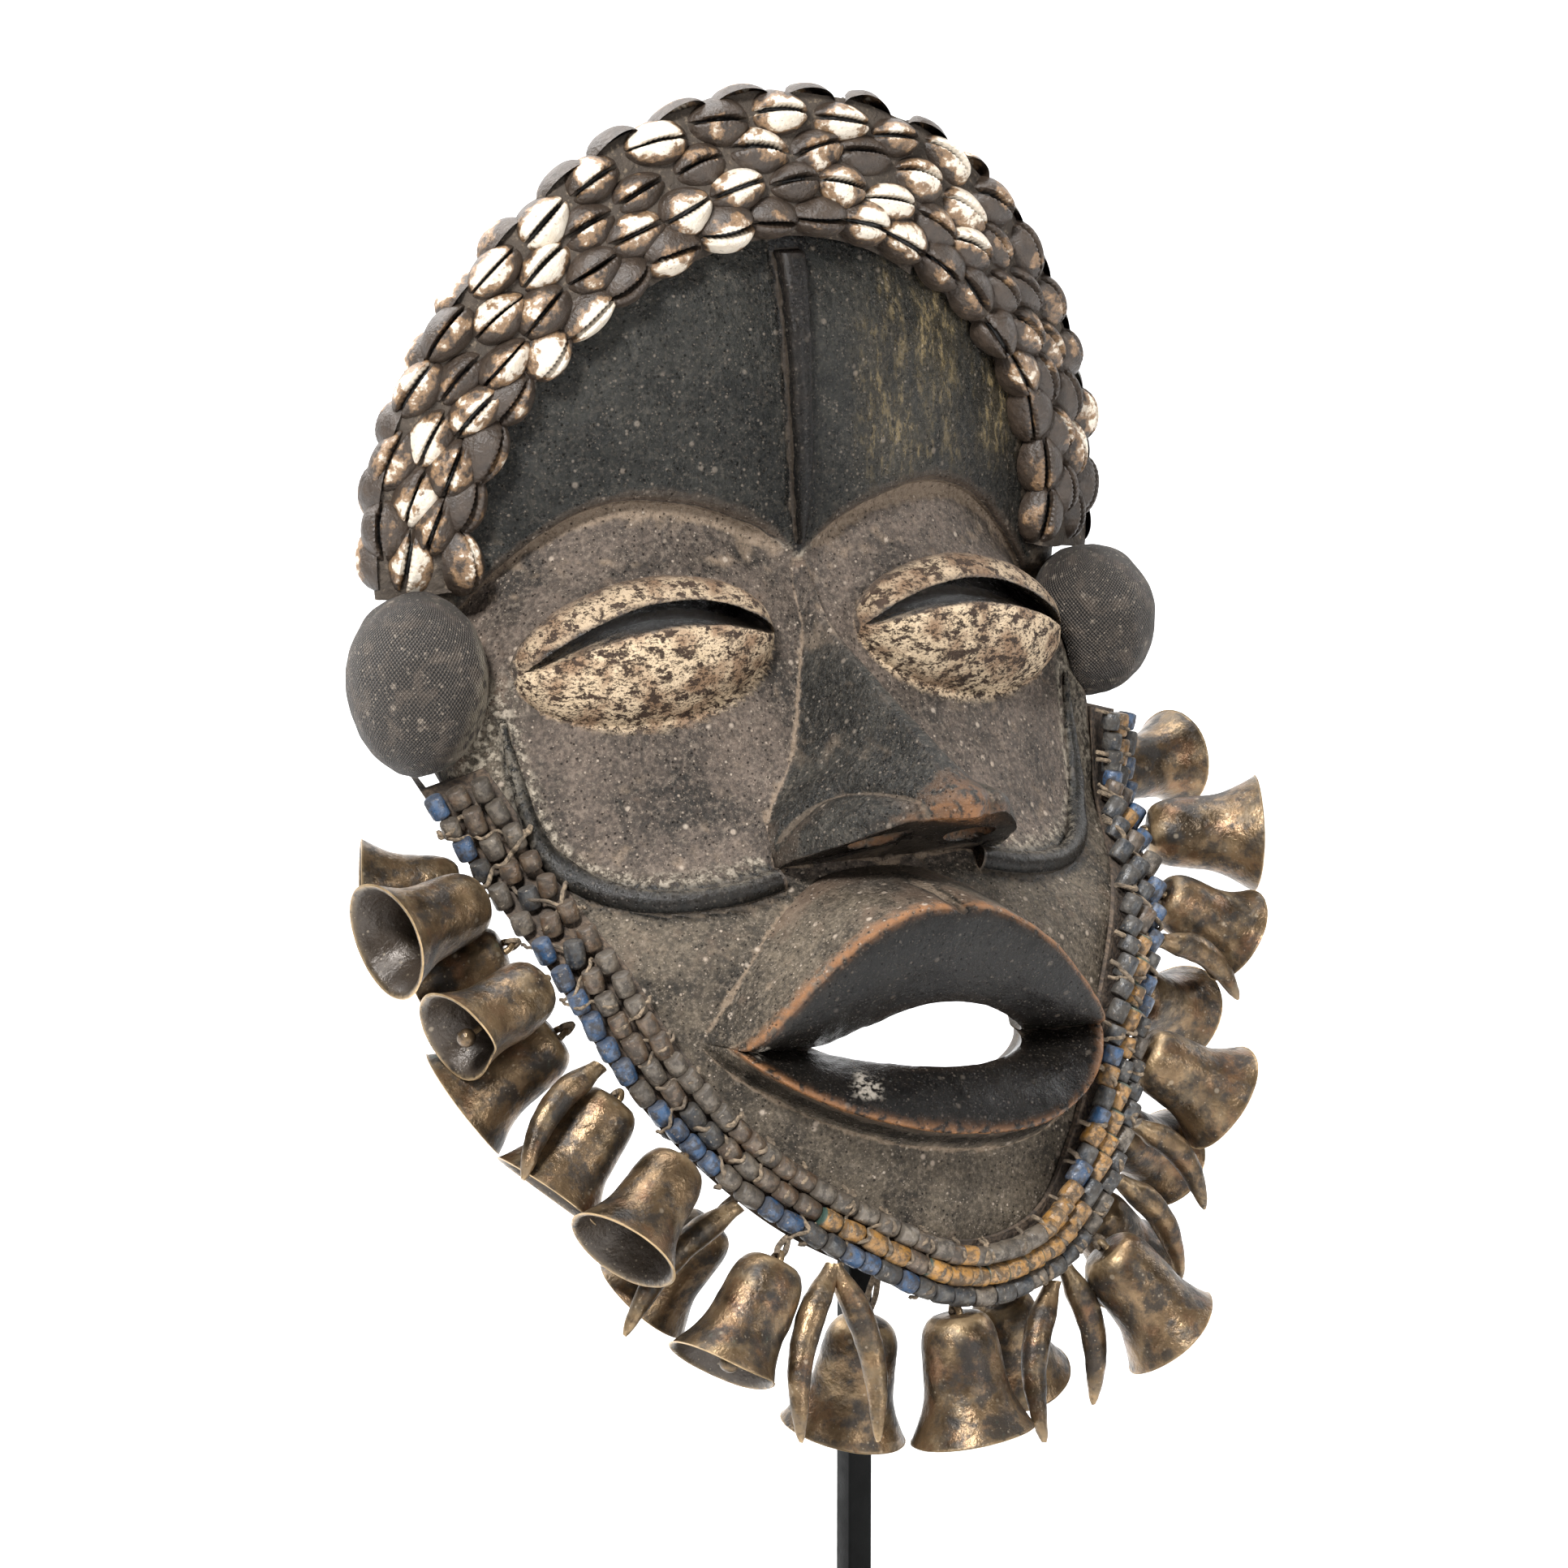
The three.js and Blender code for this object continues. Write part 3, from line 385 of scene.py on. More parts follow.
def material(name, make, **plain):
    thing = bpy.data.materials.new(name)
    thing.use_nodes = True
    n = Nodes(thing.node_tree)
    shader = thing.node_tree.nodes["Principled BSDF"]
    for socket, value in make(n).items():
        n.put(shader.inputs[socket], value)
    for socket, value in plain.items():
        n.put(shader.inputs[socket.replace("_", " ")], value)
    return thing


# Wear on edges and dust in hollows, from how proud the surface stands
def make_wear(n, given):
    break_up = n.maths("SUBTRACT", n.cloud(5, detail=7), 0.5)
    proud = n.line(break_up, given["Break"], n.mark("proud"))
    sunk = n.line(break_up, given["Break"], n.times(n.mark("proud"), -1))
    return {name: n.spread(height, given["From"], given["To"])
            for name, height in (("Edge", proud), ("Hollow", sunk))}


wear = effect("edge_wear", {"From": 0.05, "To": 0.3, "Break": 0.3}, ("Edge", "Hollow"), make_wear)


# Small pale grains of dirt, strewn one by one
def make_specks(n, given):
    total = None
    for size, share in ((1.15, 0.52), (2.1, 0.6), (4.2, 0.66)):
        node = n.node("TexVoronoi")
        n.put(node.inputs["Vector"], n.place())
        n.put(node.inputs["Scale"], 1000 / size)
        dot = n.spread(node.outputs["Distance"], given["Size"], n.times(given["Size"], 0.4))
        dot = n.times(dot, n.spread(node.outputs["Color"], share, share + 0.06))
        total = dot if total is None else n.most(total, dot)
    fine = n.patches(0.6, 0.6, 0.74, detail=3)
    return {"Mask": n.most(total, n.times(fine, given["Fine"]))}


specks = effect("pale_specks", {"Size": 0.24, "Fine": 0.6}, ("Mask",), make_specks)

# Carved wood: each zone of the face has its own dark and warm tone and its own shine
zones = {
    "cheek": ((0.018, 0.0155, 0.013), (0.128, 0.098, 0.078), 0.5),
    "forehead": ((0.004, 0.0045, 0.004), (0.023, 0.0225, 0.019), 0.3),
    "jaw": ((0.02, 0.0165, 0.0125), (0.118, 0.094, 0.067), 0.55),
    "shade": ((0.006, 0.006, 0.0055), (0.034, 0.033, 0.028), 0.33),
    # Near black for the ridge, also used as painted shade in the eye slits and under the nose
    "ridge": ((0.003, 0.003, 0.003), (0.009, 0.008, 0.007), 0.2),
    "rim": ((0.003, 0.0032, 0.003), (0.013, 0.0125, 0.011), 0.22),
    "lip": ((0.0025, 0.0024, 0.0022), (0.009, 0.0078, 0.0065), 0.2),
}


# White earth on the eyelids, flaked off down to dark wood
def lid_tones(n):
    where = n.place(scale=(1, 1, 1.7))
    flakes = n.patches(3.6, 0.53, 0.55, where=where, detail=11, rough=0.76)
    chips = n.patches(1.1, 0.55, 0.58, 0.8, where=where, detail=6, rough=0.68)
    earth = n.tone(3, (0.43, 0.32, 0.2), (0.68, 0.53, 0.37), detail=4)
    earth = n.blend(n.patches(8, 0.42, 0.66, detail=6), earth, (0.24, 0.15, 0.09))
    bare = n.most(flakes, chips, n.mark("lid_top"))
    return n.blend(bare, earth, n.tone(3, (0.016, 0.011, 0.008), (0.075, 0.045, 0.03))), bare


def make_wood(n):
    (_, (dark, warm, shine)), *others = zones.items()
    for name, (zone_dark, zone_warm, zone_shine) in others:
        mask = n.mark(name)
        dark = n.blend(mask, dark, zone_dark)
        warm = n.blend(mask, warm, zone_warm)
        shine = n.line(mask, n.maths("SUBTRACT", zone_shine, shine), shine)
    black_parts = n.most(n.mark("lip"), n.mark("ridge"), n.mark("rim"))
    dark_parts = n.most(black_parts, n.times(n.most(n.mark("forehead"), n.mark("shade")), 0.75))
    clouds = n.patches(22, 0.34, 0.64, detail=7, bend=0.4)
    mottle = n.cloud(2.4, detail=9, rough=0.72)
    colour = n.blend(n.line(clouds, 0.6, n.spread(mottle, 0.4, 0.64, 0, 0.5)), dark, warm)
    streak = n.cloud(13, n.place(scale=(1, 1, 0.26)), detail=7)
    scratches = n.cloud(2.2, n.place(scale=(1, 1, 0.4)), detail=9, rough=0.74)
    rubbed_side = n.times(n.mark("rubbed"), n.spread(streak, 0.36, 0.6))
    bared = use(n, wear, From=0.06, To=0.3, Break=0.3)["Edge"]
    grime = use(n, wear, From=0.05, To=0.22, Break=0.12)["Hollow"]
    grain = n.cloud(1.1, detail=5, rough=0.7)
    worn = n.times(n.mark("worn"), n.patches(2.4, 0.36, 0.54, detail=7))
    crust = n.times(n.mark("crust"), n.patches(1.8, 0.42, 0.56, detail=8, rough=0.7))
    dots = n.times(use(n, specks, Size=0.24, Fine=0.7)["Mask"], n.line(dark_parts, -0.56, 0.66))
    pits = n.spread(n.cells(1.7), 0.2, 0.08)
    lid, (lid_colour, bare) = n.mark("lid"), lid_tones(n)
    blot = n.times(n.mark("stain"), n.patches(1.6, 0.42, 0.56, detail=7))
    colour = n.coats(
        colour,
        (n.spread(streak, 0.5, 0.72), 0.6, dark),
        (rubbed_side, n.spread(scratches, 0.49, 0.6, 0.12), (0.2, 0.15, 0.075)),
        (grime, n.line(dark_parts, -0.5, 0.6), (0.27, 0.2, 0.14)),
        (n.spread(grain, 0.5, 0.62), 0.45, (0.006, 0.0055, 0.005)),
        (n.spread(grain, 0.47, 0.39), n.line(dark_parts, -0.24, 0.26), (0.3, 0.245, 0.19)),
        (bared, n.line(dark_parts, -0.42, 0.45), (0.17, 0.115, 0.08)),
        (worn, 0.9, n.tone(3, (0.1, 0.04, 0.016), (0.36, 0.17, 0.07), detail=5)),
        (crust, 0.85, n.tone(1.2, (0.3, 0.24, 0.17), (0.6, 0.54, 0.44))),
        (dots, 1, n.tone(9, (0.3, 0.22, 0.16), (0.55, 0.48, 0.4))),
        (pits, 0.7, (0.006, 0.005, 0.0045)),
        (lid, 1, lid_colour),
        (blot, 1, n.tone(1.2, (0.12, 0.1, 0.08), (0.5, 0.45, 0.38))))
    gloss = n.line(n.maths("SUBTRACT", mottle, 0.5), 0.6, shine)
    gloss = n.plus(gloss, n.times(n.most(grime, crust, dots), 0.3), clamp=True)
    gloss = n.most(gloss, n.times(lid, 0.6))
    grooves = n.cloud(4, n.place(scale=(1, 1, 0.35)), detail=6)
    height = n.line(grooves, 1.6, n.cloud(0.9, detail=5, rough=0.65))
    height = n.plus(height, n.line(pits, -0.8, n.times(n.most(crust, dots), 0.9)))
    height = n.maths("SUBTRACT", height, n.times(bare, lid))
    height = n.times(height, n.line(black_parts, -0.6, 1.15))
    return {"Base Color": colour, "Roughness": gloss, "Normal": n.bump(height, 0.42)}


carved_wood = material("carved wood", make_wood, Specular_IOR_Level=0.2)


def make_raw(n):
    grain = n.cloud(7, n.place(scale=(1, 1, 0.2)), detail=7)
    colour = n.blend(n.spread(grain, 0.3, 0.7), (0.035, 0.025, 0.017), (0.12, 0.08, 0.05))
    colour = n.blend(n.patches(3, 0.55, 0.75, 0.5, detail=6), colour, (0.16, 0.125, 0.09))
    gouges = n.line(grain, 0.3, n.cells(11, n.place(scale=(1, 1, 0.45)), "SMOOTH_F1"))
    return {"Base Color": colour, "Roughness": 0.72, "Normal": n.bump(gouges, 1.2)}


raw_wood = material("raw wood", make_raw)


# Carved head: the same named sizes and curves as the solid
mid_forehead = through([(286, 27), (297, 26.6), (320, 26.3), (345, 28), (360, 30.4), (374, 34.5)])
mid_face = through([(133, -42), (145, -42), (157, -39.5), (170, -38), (188, -36), (205, -32), (213, -28),
                    (221, -20), (232, -9), (245, 0), (260, 9.5), (279, 19.5), (297, 25)])
face_bow = through([(140, .0035), (158, .0035), (188, .0045), (207, .0047), (226, .0052), (240, .0045),
                    (260, .0034), (279, .0021), (297, .003)])
half_width = through([(133, 18), (146, 31), (158, 46), (170, 56.5), (188, 67.5), (207, 79), (228, 86.5),
                      (250, 88), (270, 84), (286, 80), (312, 76.5), (334, 69), (350, 58), (362, 42)])
back_depth = through([(133, -27), (146, -23), (158, -15), (183, -2), (207, 14), (228, 34), (250, 48),
                      (275, 55), (300, 60), (335, 57), (375, 49), (410, 41)])
flare = through([(133, -5), (230, -6), (250, 1), (265, 6), (286, 11), (300, 15), (334, 18), (374, 18)])
hair_centre, hairline = 300, 74
wall = 9
eye = dict(x=43.5, z=276.5, half=32, up=18, down=17.2, bulge=14, tilt=0.1)
slit = dict(raised=0.5, rise=10, thick=5.5, share=0.97, climb=0.6)
lip = dict(corner=49.4, middle=-0.5, z=190.2, top=34.4, bottom=19.9)
lip_forward, lip_swell, lip_notch = -30.7, 18.3, 2.6
hole = dict(corner=28, middle=2, z=187.8, top=11.6, bottom=3.4)
mouth_tilt = -0.038
rim_line = [(27, 226.5), (36, 224.2), (48, 222.6), (58, 222.6), (66, 224.6), (71.5, 229), (75, 236),
            (77, 249), (78.3, 262)]
rim_thick = [3, 3, 3, 3, 3.2, 3, 2.2, 1.4, 0.7]


def brow(x):
    x = np.abs(x)
    return np.where(x < 40, 312 - 14.5 * ((40 - x) / 40) ** 2, 312 - 17 * ((x - 40) / 32) ** 2)


def forehead_depth(x, z):
    return mid_forehead(z) + 0.0037 * x * x


def jaw_depth(x, z):
    return mid_face(z) + face_bow(z) * x * x


def panel_depth(x, z):
    edge = forehead_depth(x, brow(x)) + 4.5 * ease(np.abs(x) / 14)
    return mix(edge, jaw_depth(x, z), ease((brow(x) - z) / 20))


def head_block(across=150):
    s = np.linspace(-1, 1, across + 1)
    top = hair_centre + np.sqrt(hairline**2 - (s * half_width(362)) ** 2)
    arch = brow(s * half_width(286))
    cheek = mix(220, 236, s**4)
    chin = 133 + 13 * s * s
    rows = []
    for upper, lower, from_edge, to_edge, steps, depth in (
            (top, arch, 362, 286, np.linspace(0, 1, 56), forehead_depth),
            (arch - 1.2, cheek, 285, 236, np.linspace(0, 1, 64), panel_depth),
            (cheek, chin, 236, 146, np.linspace(0, 1, 74)[1:], jaw_depth)):
        for t in steps:
            x = s * half_width(mix(from_edge, to_edge, t))
            z = mix(upper, lower, t)
            rows.append(points_from(x, depth(x, z), z))
    grid = np.array(rows)
    count = len(rows)
    shape = Shape()
    shape.add(grid, grid_faces(count, across + 1))
    number = np.arange(count * (across + 1)).reshape(count, across + 1)
    edge = np.concatenate([number[0], number[1:-1, -1], number[-1][::-1], number[1:-1, 0][::-1]])
    start = grid.reshape(-1, 3)[edge]
    lower_middle = mix(225, hair_centre, ease((start[:, 2] - 225) / 75))
    middle = np.where(start[:, 2] > hair_centre, hair_centre, lower_middle)
    out = unit(points_from(start[:, 0], 0, start[:, 2] - middle))
    spread = flare(start[:, 2])[:, None]
    end = start + out * spread
    end[:, 1] = back_depth(end[:, 2])
    reach = end[:, 1] - start[:, 1]
    first = start + out * np.maximum(spread, 0) * 0.65
    first[:, 1] += reach * mix(0.4, 0.05, ease(spread[:, 0] / 6))
    second = end.copy()
    second[:, 1] -= reach * 0.45
    rings = [start]
    for t in np.linspace(0, 1, 13)[1:]:
        halfway = mix(first, second, t)
        rings.append(mix(mix(mix(start, first, t), halfway, t), mix(halfway, mix(second, end, t), t), t))
    base = shape.count - len(edge)
    around = grid_faces(len(rings), len(edge), wrap_columns=True)
    shape.add(np.vstack(rings[1:]), [])
    for face in around:
        shape.faces.append(tuple(int(edge[i]) if i < len(edge) else int(base + i) for i in face))
        shape.slots.append(0)
    shape.add([[0, back_depth(255), 255]], [])
    last = base + (len(rings) - 1) * len(edge)
    for i in range(len(edge)):
        shape.faces.append((last + i, last + (i + 1) % len(edge), shape.count - 1))
        shape.slots.append(1)
    return shape


def hollow_block():
    rings = []
    for z in np.concatenate([np.linspace(143, 354, 44), [358, 362, 366, 369]]):
        arch = math.sqrt((hairline - 2) ** 2 - max(z - hair_centre, 0) ** 2)
        wide = min(float(half_width(z)) - wall + 2, arch if z > hair_centre else 78)
        x = np.linspace(-1, 1, 41) * wide
        deep = np.where(z > 292, forehead_depth(x, z), jaw_depth(x, z) + 4 * ease((z - 255) / 30))
        ring = points_from(x, deep + wall * 1.15, z)
        far = float(back_depth(z)) + 40
        rings.append(np.vstack([ring, [[wide * 1.02, far, z], [-wide * 1.02, far, z]]]))
    return Shape().loft(rings, slot=1)


def nose_block():
    # half width, middle, crest y and z, foot y and z, belly
    stations = [(4, 0, 25, 296, 30, 294, 0), (7, .5, 13, 281, 26, 277, 0), (13, 1, -8, 270, 18, 262, -1),
                (19, 2, -27, 260, 8, 250, -2), (26, 2.5, -41, 252.5, 1, 241, 1),
                (30, 3, -48, 248.5, -6, 233, 6), (30.5, 3, -47, 244, -9, 228, 7)]
    keys = [0, 1, 2, 3, 4, 5, 5.35]
    curves = [through([[k, s[i]] for k, s in zip(keys, stations)]) for i in range(7)]
    flank = np.linspace(0.1, 1, 38)
    v = np.concatenate([-flank[::-1], np.linspace(-0.1, 0.1, 9)[1:-1], flank])
    a = np.clip((np.abs(v) - 0.1) / 0.9, 0, 1)
    crown = 0.8 * (1 - np.clip(np.abs(v) / 0.1, 0, 1) ** 2)
    # The crease over each wing, and the wing's round lobe below it
    crease = np.minimum(4.2 + 1.15 * ((np.abs(v) - 0.65) / 0.37) ** 2, 5.34)
    rings = []
    for k in np.concatenate([np.linspace(0, 3.4, 26)[:-1], np.linspace(3.4, 5.35, 54)]):
        half, middle, crest_y, crest_z, foot_y, foot_z, belly = (float(c(k)) for c in curves)
        y = mix(crest_y, foot_y, a) - belly * np.sin(math.pi * a**1.5) - crown
        z = mix(crest_z, foot_z, a ** mix(1, 1.7, float(ease(k - 3))))
        down = np.clip((k - crease) / (5.35 - crease), 0, 1)
        lobe = 3.2 * np.sqrt(1 - (1 - down) ** 2) - 1.8 * hump(k - crease, 0.3) * (k <= crease)
        lobe = lobe * ease((np.abs(v) - 0.25) / 0.15) * ease((1.02 - np.abs(v)) / 0.1) * (crease < 5.3)
        x = middle + v * half + np.sign(v) * lobe * 0.5
        ring = points_from(x, y - lobe * 0.6, z + lobe * 0.45)
        ends = [[middle + side * half * 0.5, foot_y + 8, foot_z] for side in (1, -1)]
        rings.append(np.vstack([ring, ends]))
    return Shape().loft(rings)


# A rounded lump, longest along a given way
def lump(middle, way, radii):
    long = unit(np.array(way, float))
    side = unit(np.cross(long, [0, 0, 1]))
    rows, columns = 28, 36
    a = np.linspace(0.03, math.pi - 0.03, rows)[:, None, None]
    b = circle(columns)[None, :, None]
    around = np.cos(b) * radii[1] * side + np.sin(b) * radii[2] * np.cross(side, long)
    return Shape().loft(np.array(middle) + np.cos(a) * radii[0] * long + np.sin(a) * around)


def nostril(side):
    return lump((3 + side * 12, -27, 235.5), (side * 3, 4, 8), (8, 6.2, 8.5))


def ridge_block():
    high = through([[299, 2.4], [310, 3.6], [330, 4], [355, 4.4], [369, 4.6]])
    wide = through([[299, 0.8], [310, 2], [330, 2.7], [355, 3.4], [369, 3.8]])
    rings = []
    for z in np.linspace(369, 299, 40):
        a = np.linspace(0, math.pi, 15)
        u, v = -np.cos(a), np.sin(a) ** 0.6
        y = float(mid_forehead(z)) - v * float(high(z))
        ring = points_from(u * float(wide(z)), y, z)
        ring[[0, -1], 1] += 2.5
        rings.append(ring)
    return Shape().loft(rings)


def lid_block(side):
    rings = []
    for k in range(61):
        u = -math.cos(math.pi * k / 60) * 0.997
        x = side * (eye["x"] + u * eye["half"])
        level = eye["z"] - u * eye["half"] * eye["tilt"]
        wide = math.sqrt(1 - u * u)
        a = circle(48)
        z = level + np.sin(a) * wide * np.where(np.sin(a) > 0, eye["up"], eye["down"])
        bulge = np.cos(a) * np.where(np.cos(a) > 0, eye["bulge"], 4) * wide**0.8
        y = panel_depth(x, level) - bulge + 1
        rings.append(points_from(x, y, z))
    return Shape().loft(rings)


def slit_block(side):
    u = np.linspace(-1, 1, 41)
    bulge = 1 - u * u
    x = side * (eye["x"] + u * eye["half"] * slit["share"])
    middle = eye["z"] + slit["raised"] - u * eye["half"] * eye["tilt"] + bulge * slit["rise"]
    half = slit["thick"] * np.sqrt(bulge) / 2
    upper, lower = (points_from(x, middle + way * half) for way in (1, -1))
    outline = np.vstack([upper, lower[-2:0:-1]])
    wall_at = panel_depth(outline[:, 0], outline[:, 1]) - 1
    rings = []
    for y in np.linspace(-20, 60, 41):
        climb = slit["climb"] * np.maximum(0, y - wall_at)
        rings.append(points_from(outline[:, 0], y, outline[:, 1] + climb))
    return Shape().loft(rings)


def rim_block(side, grow=0.0):
    line = np.array(rim_line, float)
    key = np.arange(len(line))
    place = [through(list(zip(key, line[:, i]))) for i in range(2)]
    thick = through(list(zip(key, rim_thick)))
    steps = np.linspace(0, len(line) - 1, 80)
    x, z, t = place[0](steps), place[1](steps), thick(steps) + grow
    along = unit(points_from(np.gradient(x), np.gradient(z)))
    a = circle(20)
    rings = []
    for k in range(len(steps)):
        px, pz = x[k] + along[k, 1] * t[k] * np.cos(a), z[k] - along[k, 0] * t[k] * np.cos(a)
        y = float(jaw_depth(x[k], z[k])) - 0.8 - t[k] * np.sin(a)
        rings.append(points_from(side * px, y, pz))
    return Shape().loft(rings)


def mouth_line(angle, corner, middle, z, top, bottom):
    c, s = np.cos(angle), np.sin(angle)
    x = corner * np.sign(c) * np.abs(c) ** 0.92
    upper, lower = top * np.abs(s) ** 2.16 * (1 - 0.1 * c), -bottom * np.abs(s) ** 1.3 * (1 + 0.33 * c)
    return x + middle, z + mouth_tilt * x + np.where(s > 0, upper, lower)


def lip_block(count=176):
    angle = circle(count)
    swell = np.abs(np.sin(angle)) ** 0.88
    x, z = mouth_line(angle, **lip)
    hx, hz = mouth_line(angle, **hole)
    front = lip_forward - lip_swell * swell
    dip = lip_notch * hump(x - lip["middle"], 2.6) * (np.sin(angle) > 0)

    def at(t, y):
        return points_from(mix(x, hx, t), y, mix(z, hz, t) - dip * max(0, 1 - abs(t) / 0.1))
    flank = np.where(np.sin(angle) > 0, 1.12, 1.45)
    root = points_from(x * 1.1, jaw_depth(x, z) + 3, lip["z"] + (z - lip["z"]) * flank)
    rings = [root] + [mix(root, at(-0.03, front + 4), t) for t in (0.14, 0.28, 0.42, 0.56, 0.7, 0.85)]
    rings += [at(-0.03, front + 4), at(-0.02, front + 1.6), at(-0.006, front + 0.2), at(0.012, front - 0.3)]
    slope = through([[0.03, -0.6], [0.12, -0.8], [0.5, 2], [0.88, 7], [1, 9]])
    rings += [at(t, front + float(slope(t))) for t in np.linspace(0.04, 1, 20)]
    rings += [at(mix(1, 0.45, k / 8), front + mix(9, 28, k / 8)) for k in range(1, 9)]
    rings.append(points_from(x * 0.9, front + 30, lip["z"] + (z - lip["z"]) * 0.9))
    return Shape().hoop(np.array(rings).transpose(1, 0, 2))


def mouth_block():
    x, z = mouth_line(circle(96), **lip)
    rings = [points_from(x * 0.86, y, lip["z"] + (z - lip["z"]) * 0.84)
             for y in np.linspace(-70, 50, 8)]
    return Shape().loft(rings)


# How strongly each zone of the carving holds at each point of the head
def mark_zones(mesh):
    points = mesh_points(mesh)
    x, y, z = points.T
    aside, turned = np.abs(x), mesh_normals(mesh)[:, 2]
    jaw_y, panel_y = jaw_depth(x, z), panel_depth(x, z)
    shake = 0.7 * rough(points, 6, 8)
    marks = {"forehead": ease((z - brow(x)) / 1.8 + 0.6)}
    crown = np.interp(z, [299, 310, 369], [1.2, 3.3, 5.2])
    marks["ridge"] = ease((crown - aside) / 1.2 + 0.6) * (z > 297) * (y < 40)
    marks["rubbed"] = ease((x - 12) / 18) * ease((z - 308) / 16) * ease((372 - z) / 20)
    # Which side of the cheek rim a point lies on, and how near
    keys = np.arange(len(rim_line))
    steps = np.linspace(0, len(rim_line) - 1, 90)
    line = np.stack([through(list(zip(keys, column)))(steps) for column in zip(*rim_line)], axis=1)
    offset = points_from(aside, z)[:, None] - line[None]
    near = np.argmin((offset**2).sum(2), axis=1)
    nearest = offset[np.arange(len(x)), near]
    gap, rim_half = np.hypot(*nearest.T), np.interp(steps, keys, rim_thick)[near]
    run = unit(np.gradient(line, axis=0))[near]
    above = np.sign(run[:, 0] * nearest[:, 1] - run[:, 1] * nearest[:, 0])
    front = ease((jaw_y + 4 - y) / 3)
    marks["rim"] = ease((rim_half + 0.6 - gap) / 1.2 + 0.5) * front * (near > 0)
    signed = np.where((aside < 26) & (near < 2), z - 226, gap * above)
    marks["jaw"] = ease(0.5 - signed / 3)
    # The mouth: inside its outline the wood is near black, and its edge is worn
    turn_at = circle(720)
    outline_x, outline_z = mouth_line(turn_at, **lip)
    outline_x, outline_z = outline_x - lip["middle"], outline_z - lip["z"]
    heading = np.arctan2(outline_z, outline_x)
    order = np.argsort(heading)
    from_middle, under_middle = x - lip["middle"], z - lip["z"]

    def around_mouth(values):
        here = np.arctan2(under_middle, from_middle)
        return np.interp(here, heading[order], values[order], period=2 * math.pi)
    inside = around_mouth(np.hypot(outline_x, outline_z)) - np.hypot(from_middle, under_middle)
    jutting = ease((jaw_y + 8 - y) / 4)
    below = ease(-under_middle / 5) * ease((inside + 13) / 2) * ease((jaw_y - 0.6 - y) / 2.5)
    marks["lip"] = np.maximum(ease(inside / 1.2 + 0.1) * jutting, below * 0.92)
    front_at = around_mouth(lip_forward - lip_swell * np.abs(np.sin(turn_at)) ** 0.88)
    worn_width = np.where(under_middle < 0, 1.9, 0.95)
    worn_lip = hump(inside + 0.1 + 0.5 * shake, worn_width) * hump(y - front_at, 2.2)
    # Dirt dried on the lower lip, and a chip at the left corner
    marks["worn"], marks["stain"] = worn_lip, np.zeros(len(x))
    for sx, sz, rx, rz in ((-22.5, 182.4, 3.4, 2.2), (-45.3, 192, 1.9, 1.7)):
        blot = 1.2 - np.hypot((x - sx) / rx, (z - sz) / rz) + 0.9 * shake
        marks["stain"] = np.maximum(marks["stain"], ease(blot / 0.5) * 0.85 * (y < -26))
    # The nose: dark sides, a brown tip, a worn edge on the wings and painted shade, near black, on the
    # underside
    nose_wide = np.interp(z, [228, 233, 241, 250, 262, 277, 294], [31.5, 31, 27, 20, 13.5, 7.5, 4.5])
    on_nose = ease((nose_wide + 0.7 - np.abs(x - 2)) / 1.5) * ease((panel_y - 0.2 - y) / 0.6)
    marks["shade"] = on_nose * ease((z - 225) / 3) * ease((288 - z) / 16) * 0.95
    tip = hump(np.hypot(x - 3, (z - 243) * 0.9), 7) * (y < -38)
    on_wings = (np.abs(x - 3) < 34) * (z < 251)
    wing_edge = hump(turned + 0.02, 0.13) * on_wings * (z > 227) * ease((panel_y - 8 - y) / 4) * 0.7
    marks["worn"] = np.maximum.reduce([worn_lip, tip, wing_edge])
    # Painted shade: faces turned downwards under the nose join the near-black zone
    nose_underside_shade = ease((-0.1 - turned) / 0.2) * on_wings * ease((z - 224) / 2) * (y < -4)
    # The eyelids with their slits, with painted shade, near black, inside the slits and on the hollow
    # behind them
    across = (aside - eye["x"]) / eye["half"]
    level = eye["z"] - across * eye["half"] * eye["tilt"]
    round_it = np.sqrt(np.clip(1 - across**2, 1e-4, 1))
    high = (z - level) / np.where(z > level, eye["up"], eye["down"]) / round_it
    level_y = panel_depth(x, level)
    lid = ease((1.0 - np.abs(high) + 0.03 * shake) / 0.09 + 0.3) * ease((level_y + 1.5 - y) / 2)
    from_slit = z - (level + slit["raised"] + slit["rise"] * round_it**2)
    # Painted shade on the slit's walls, and on the inner face behind each slit
    tunnel_shade = ease((slit["thick"] / 2 * round_it + 0.5 - np.abs(from_slit)) / 0.5)
    tunnel_shade *= ease((y - level_y + eye["bulge"] * round_it**0.8 - 0.6) / 1.5)
    behind = ease(y - panel_y - 0.4) * (np.abs(from_slit) < 12)
    shaded_slit = np.maximum(tunnel_shade, behind) * (np.abs(across) < 1) * (y < panel_y + 9.8)
    marks["lid"] = lid * (np.abs(across) < 0.99) * (1 - shaded_slit)
    marks["lid_top"] = ease(from_slit / 2 + 0.5) * 0.3
    # The near-black zone also takes the painted shade in the slits and under the nose
    marks["ridge"] = np.maximum.reduce([marks["ridge"], shaded_slit, nose_underside_shade])
    # Pale crust down the outer edge of the cheek, and over the rim's upper border
    edge = half_width(z) - aside
    strip = hump(edge - 4 + 2 * shake, 5) * ease((z - 214) / 10) * ease((276 - z) / 12)
    border = hump(gap * above - rim_half - 1.2, 1.1) * (near > 1) * front * 0.8
    arch = hump(z - brow(x) + 1.2, 0.8) * ease((75 - aside) / 8) * front * 0.65
    marks["crust"] = np.maximum.reduce([strip * (0.45 + 0.55 * (x < 0)), border, arch])
    for name, value in marks.items():
        set_mark(mesh, name, value)


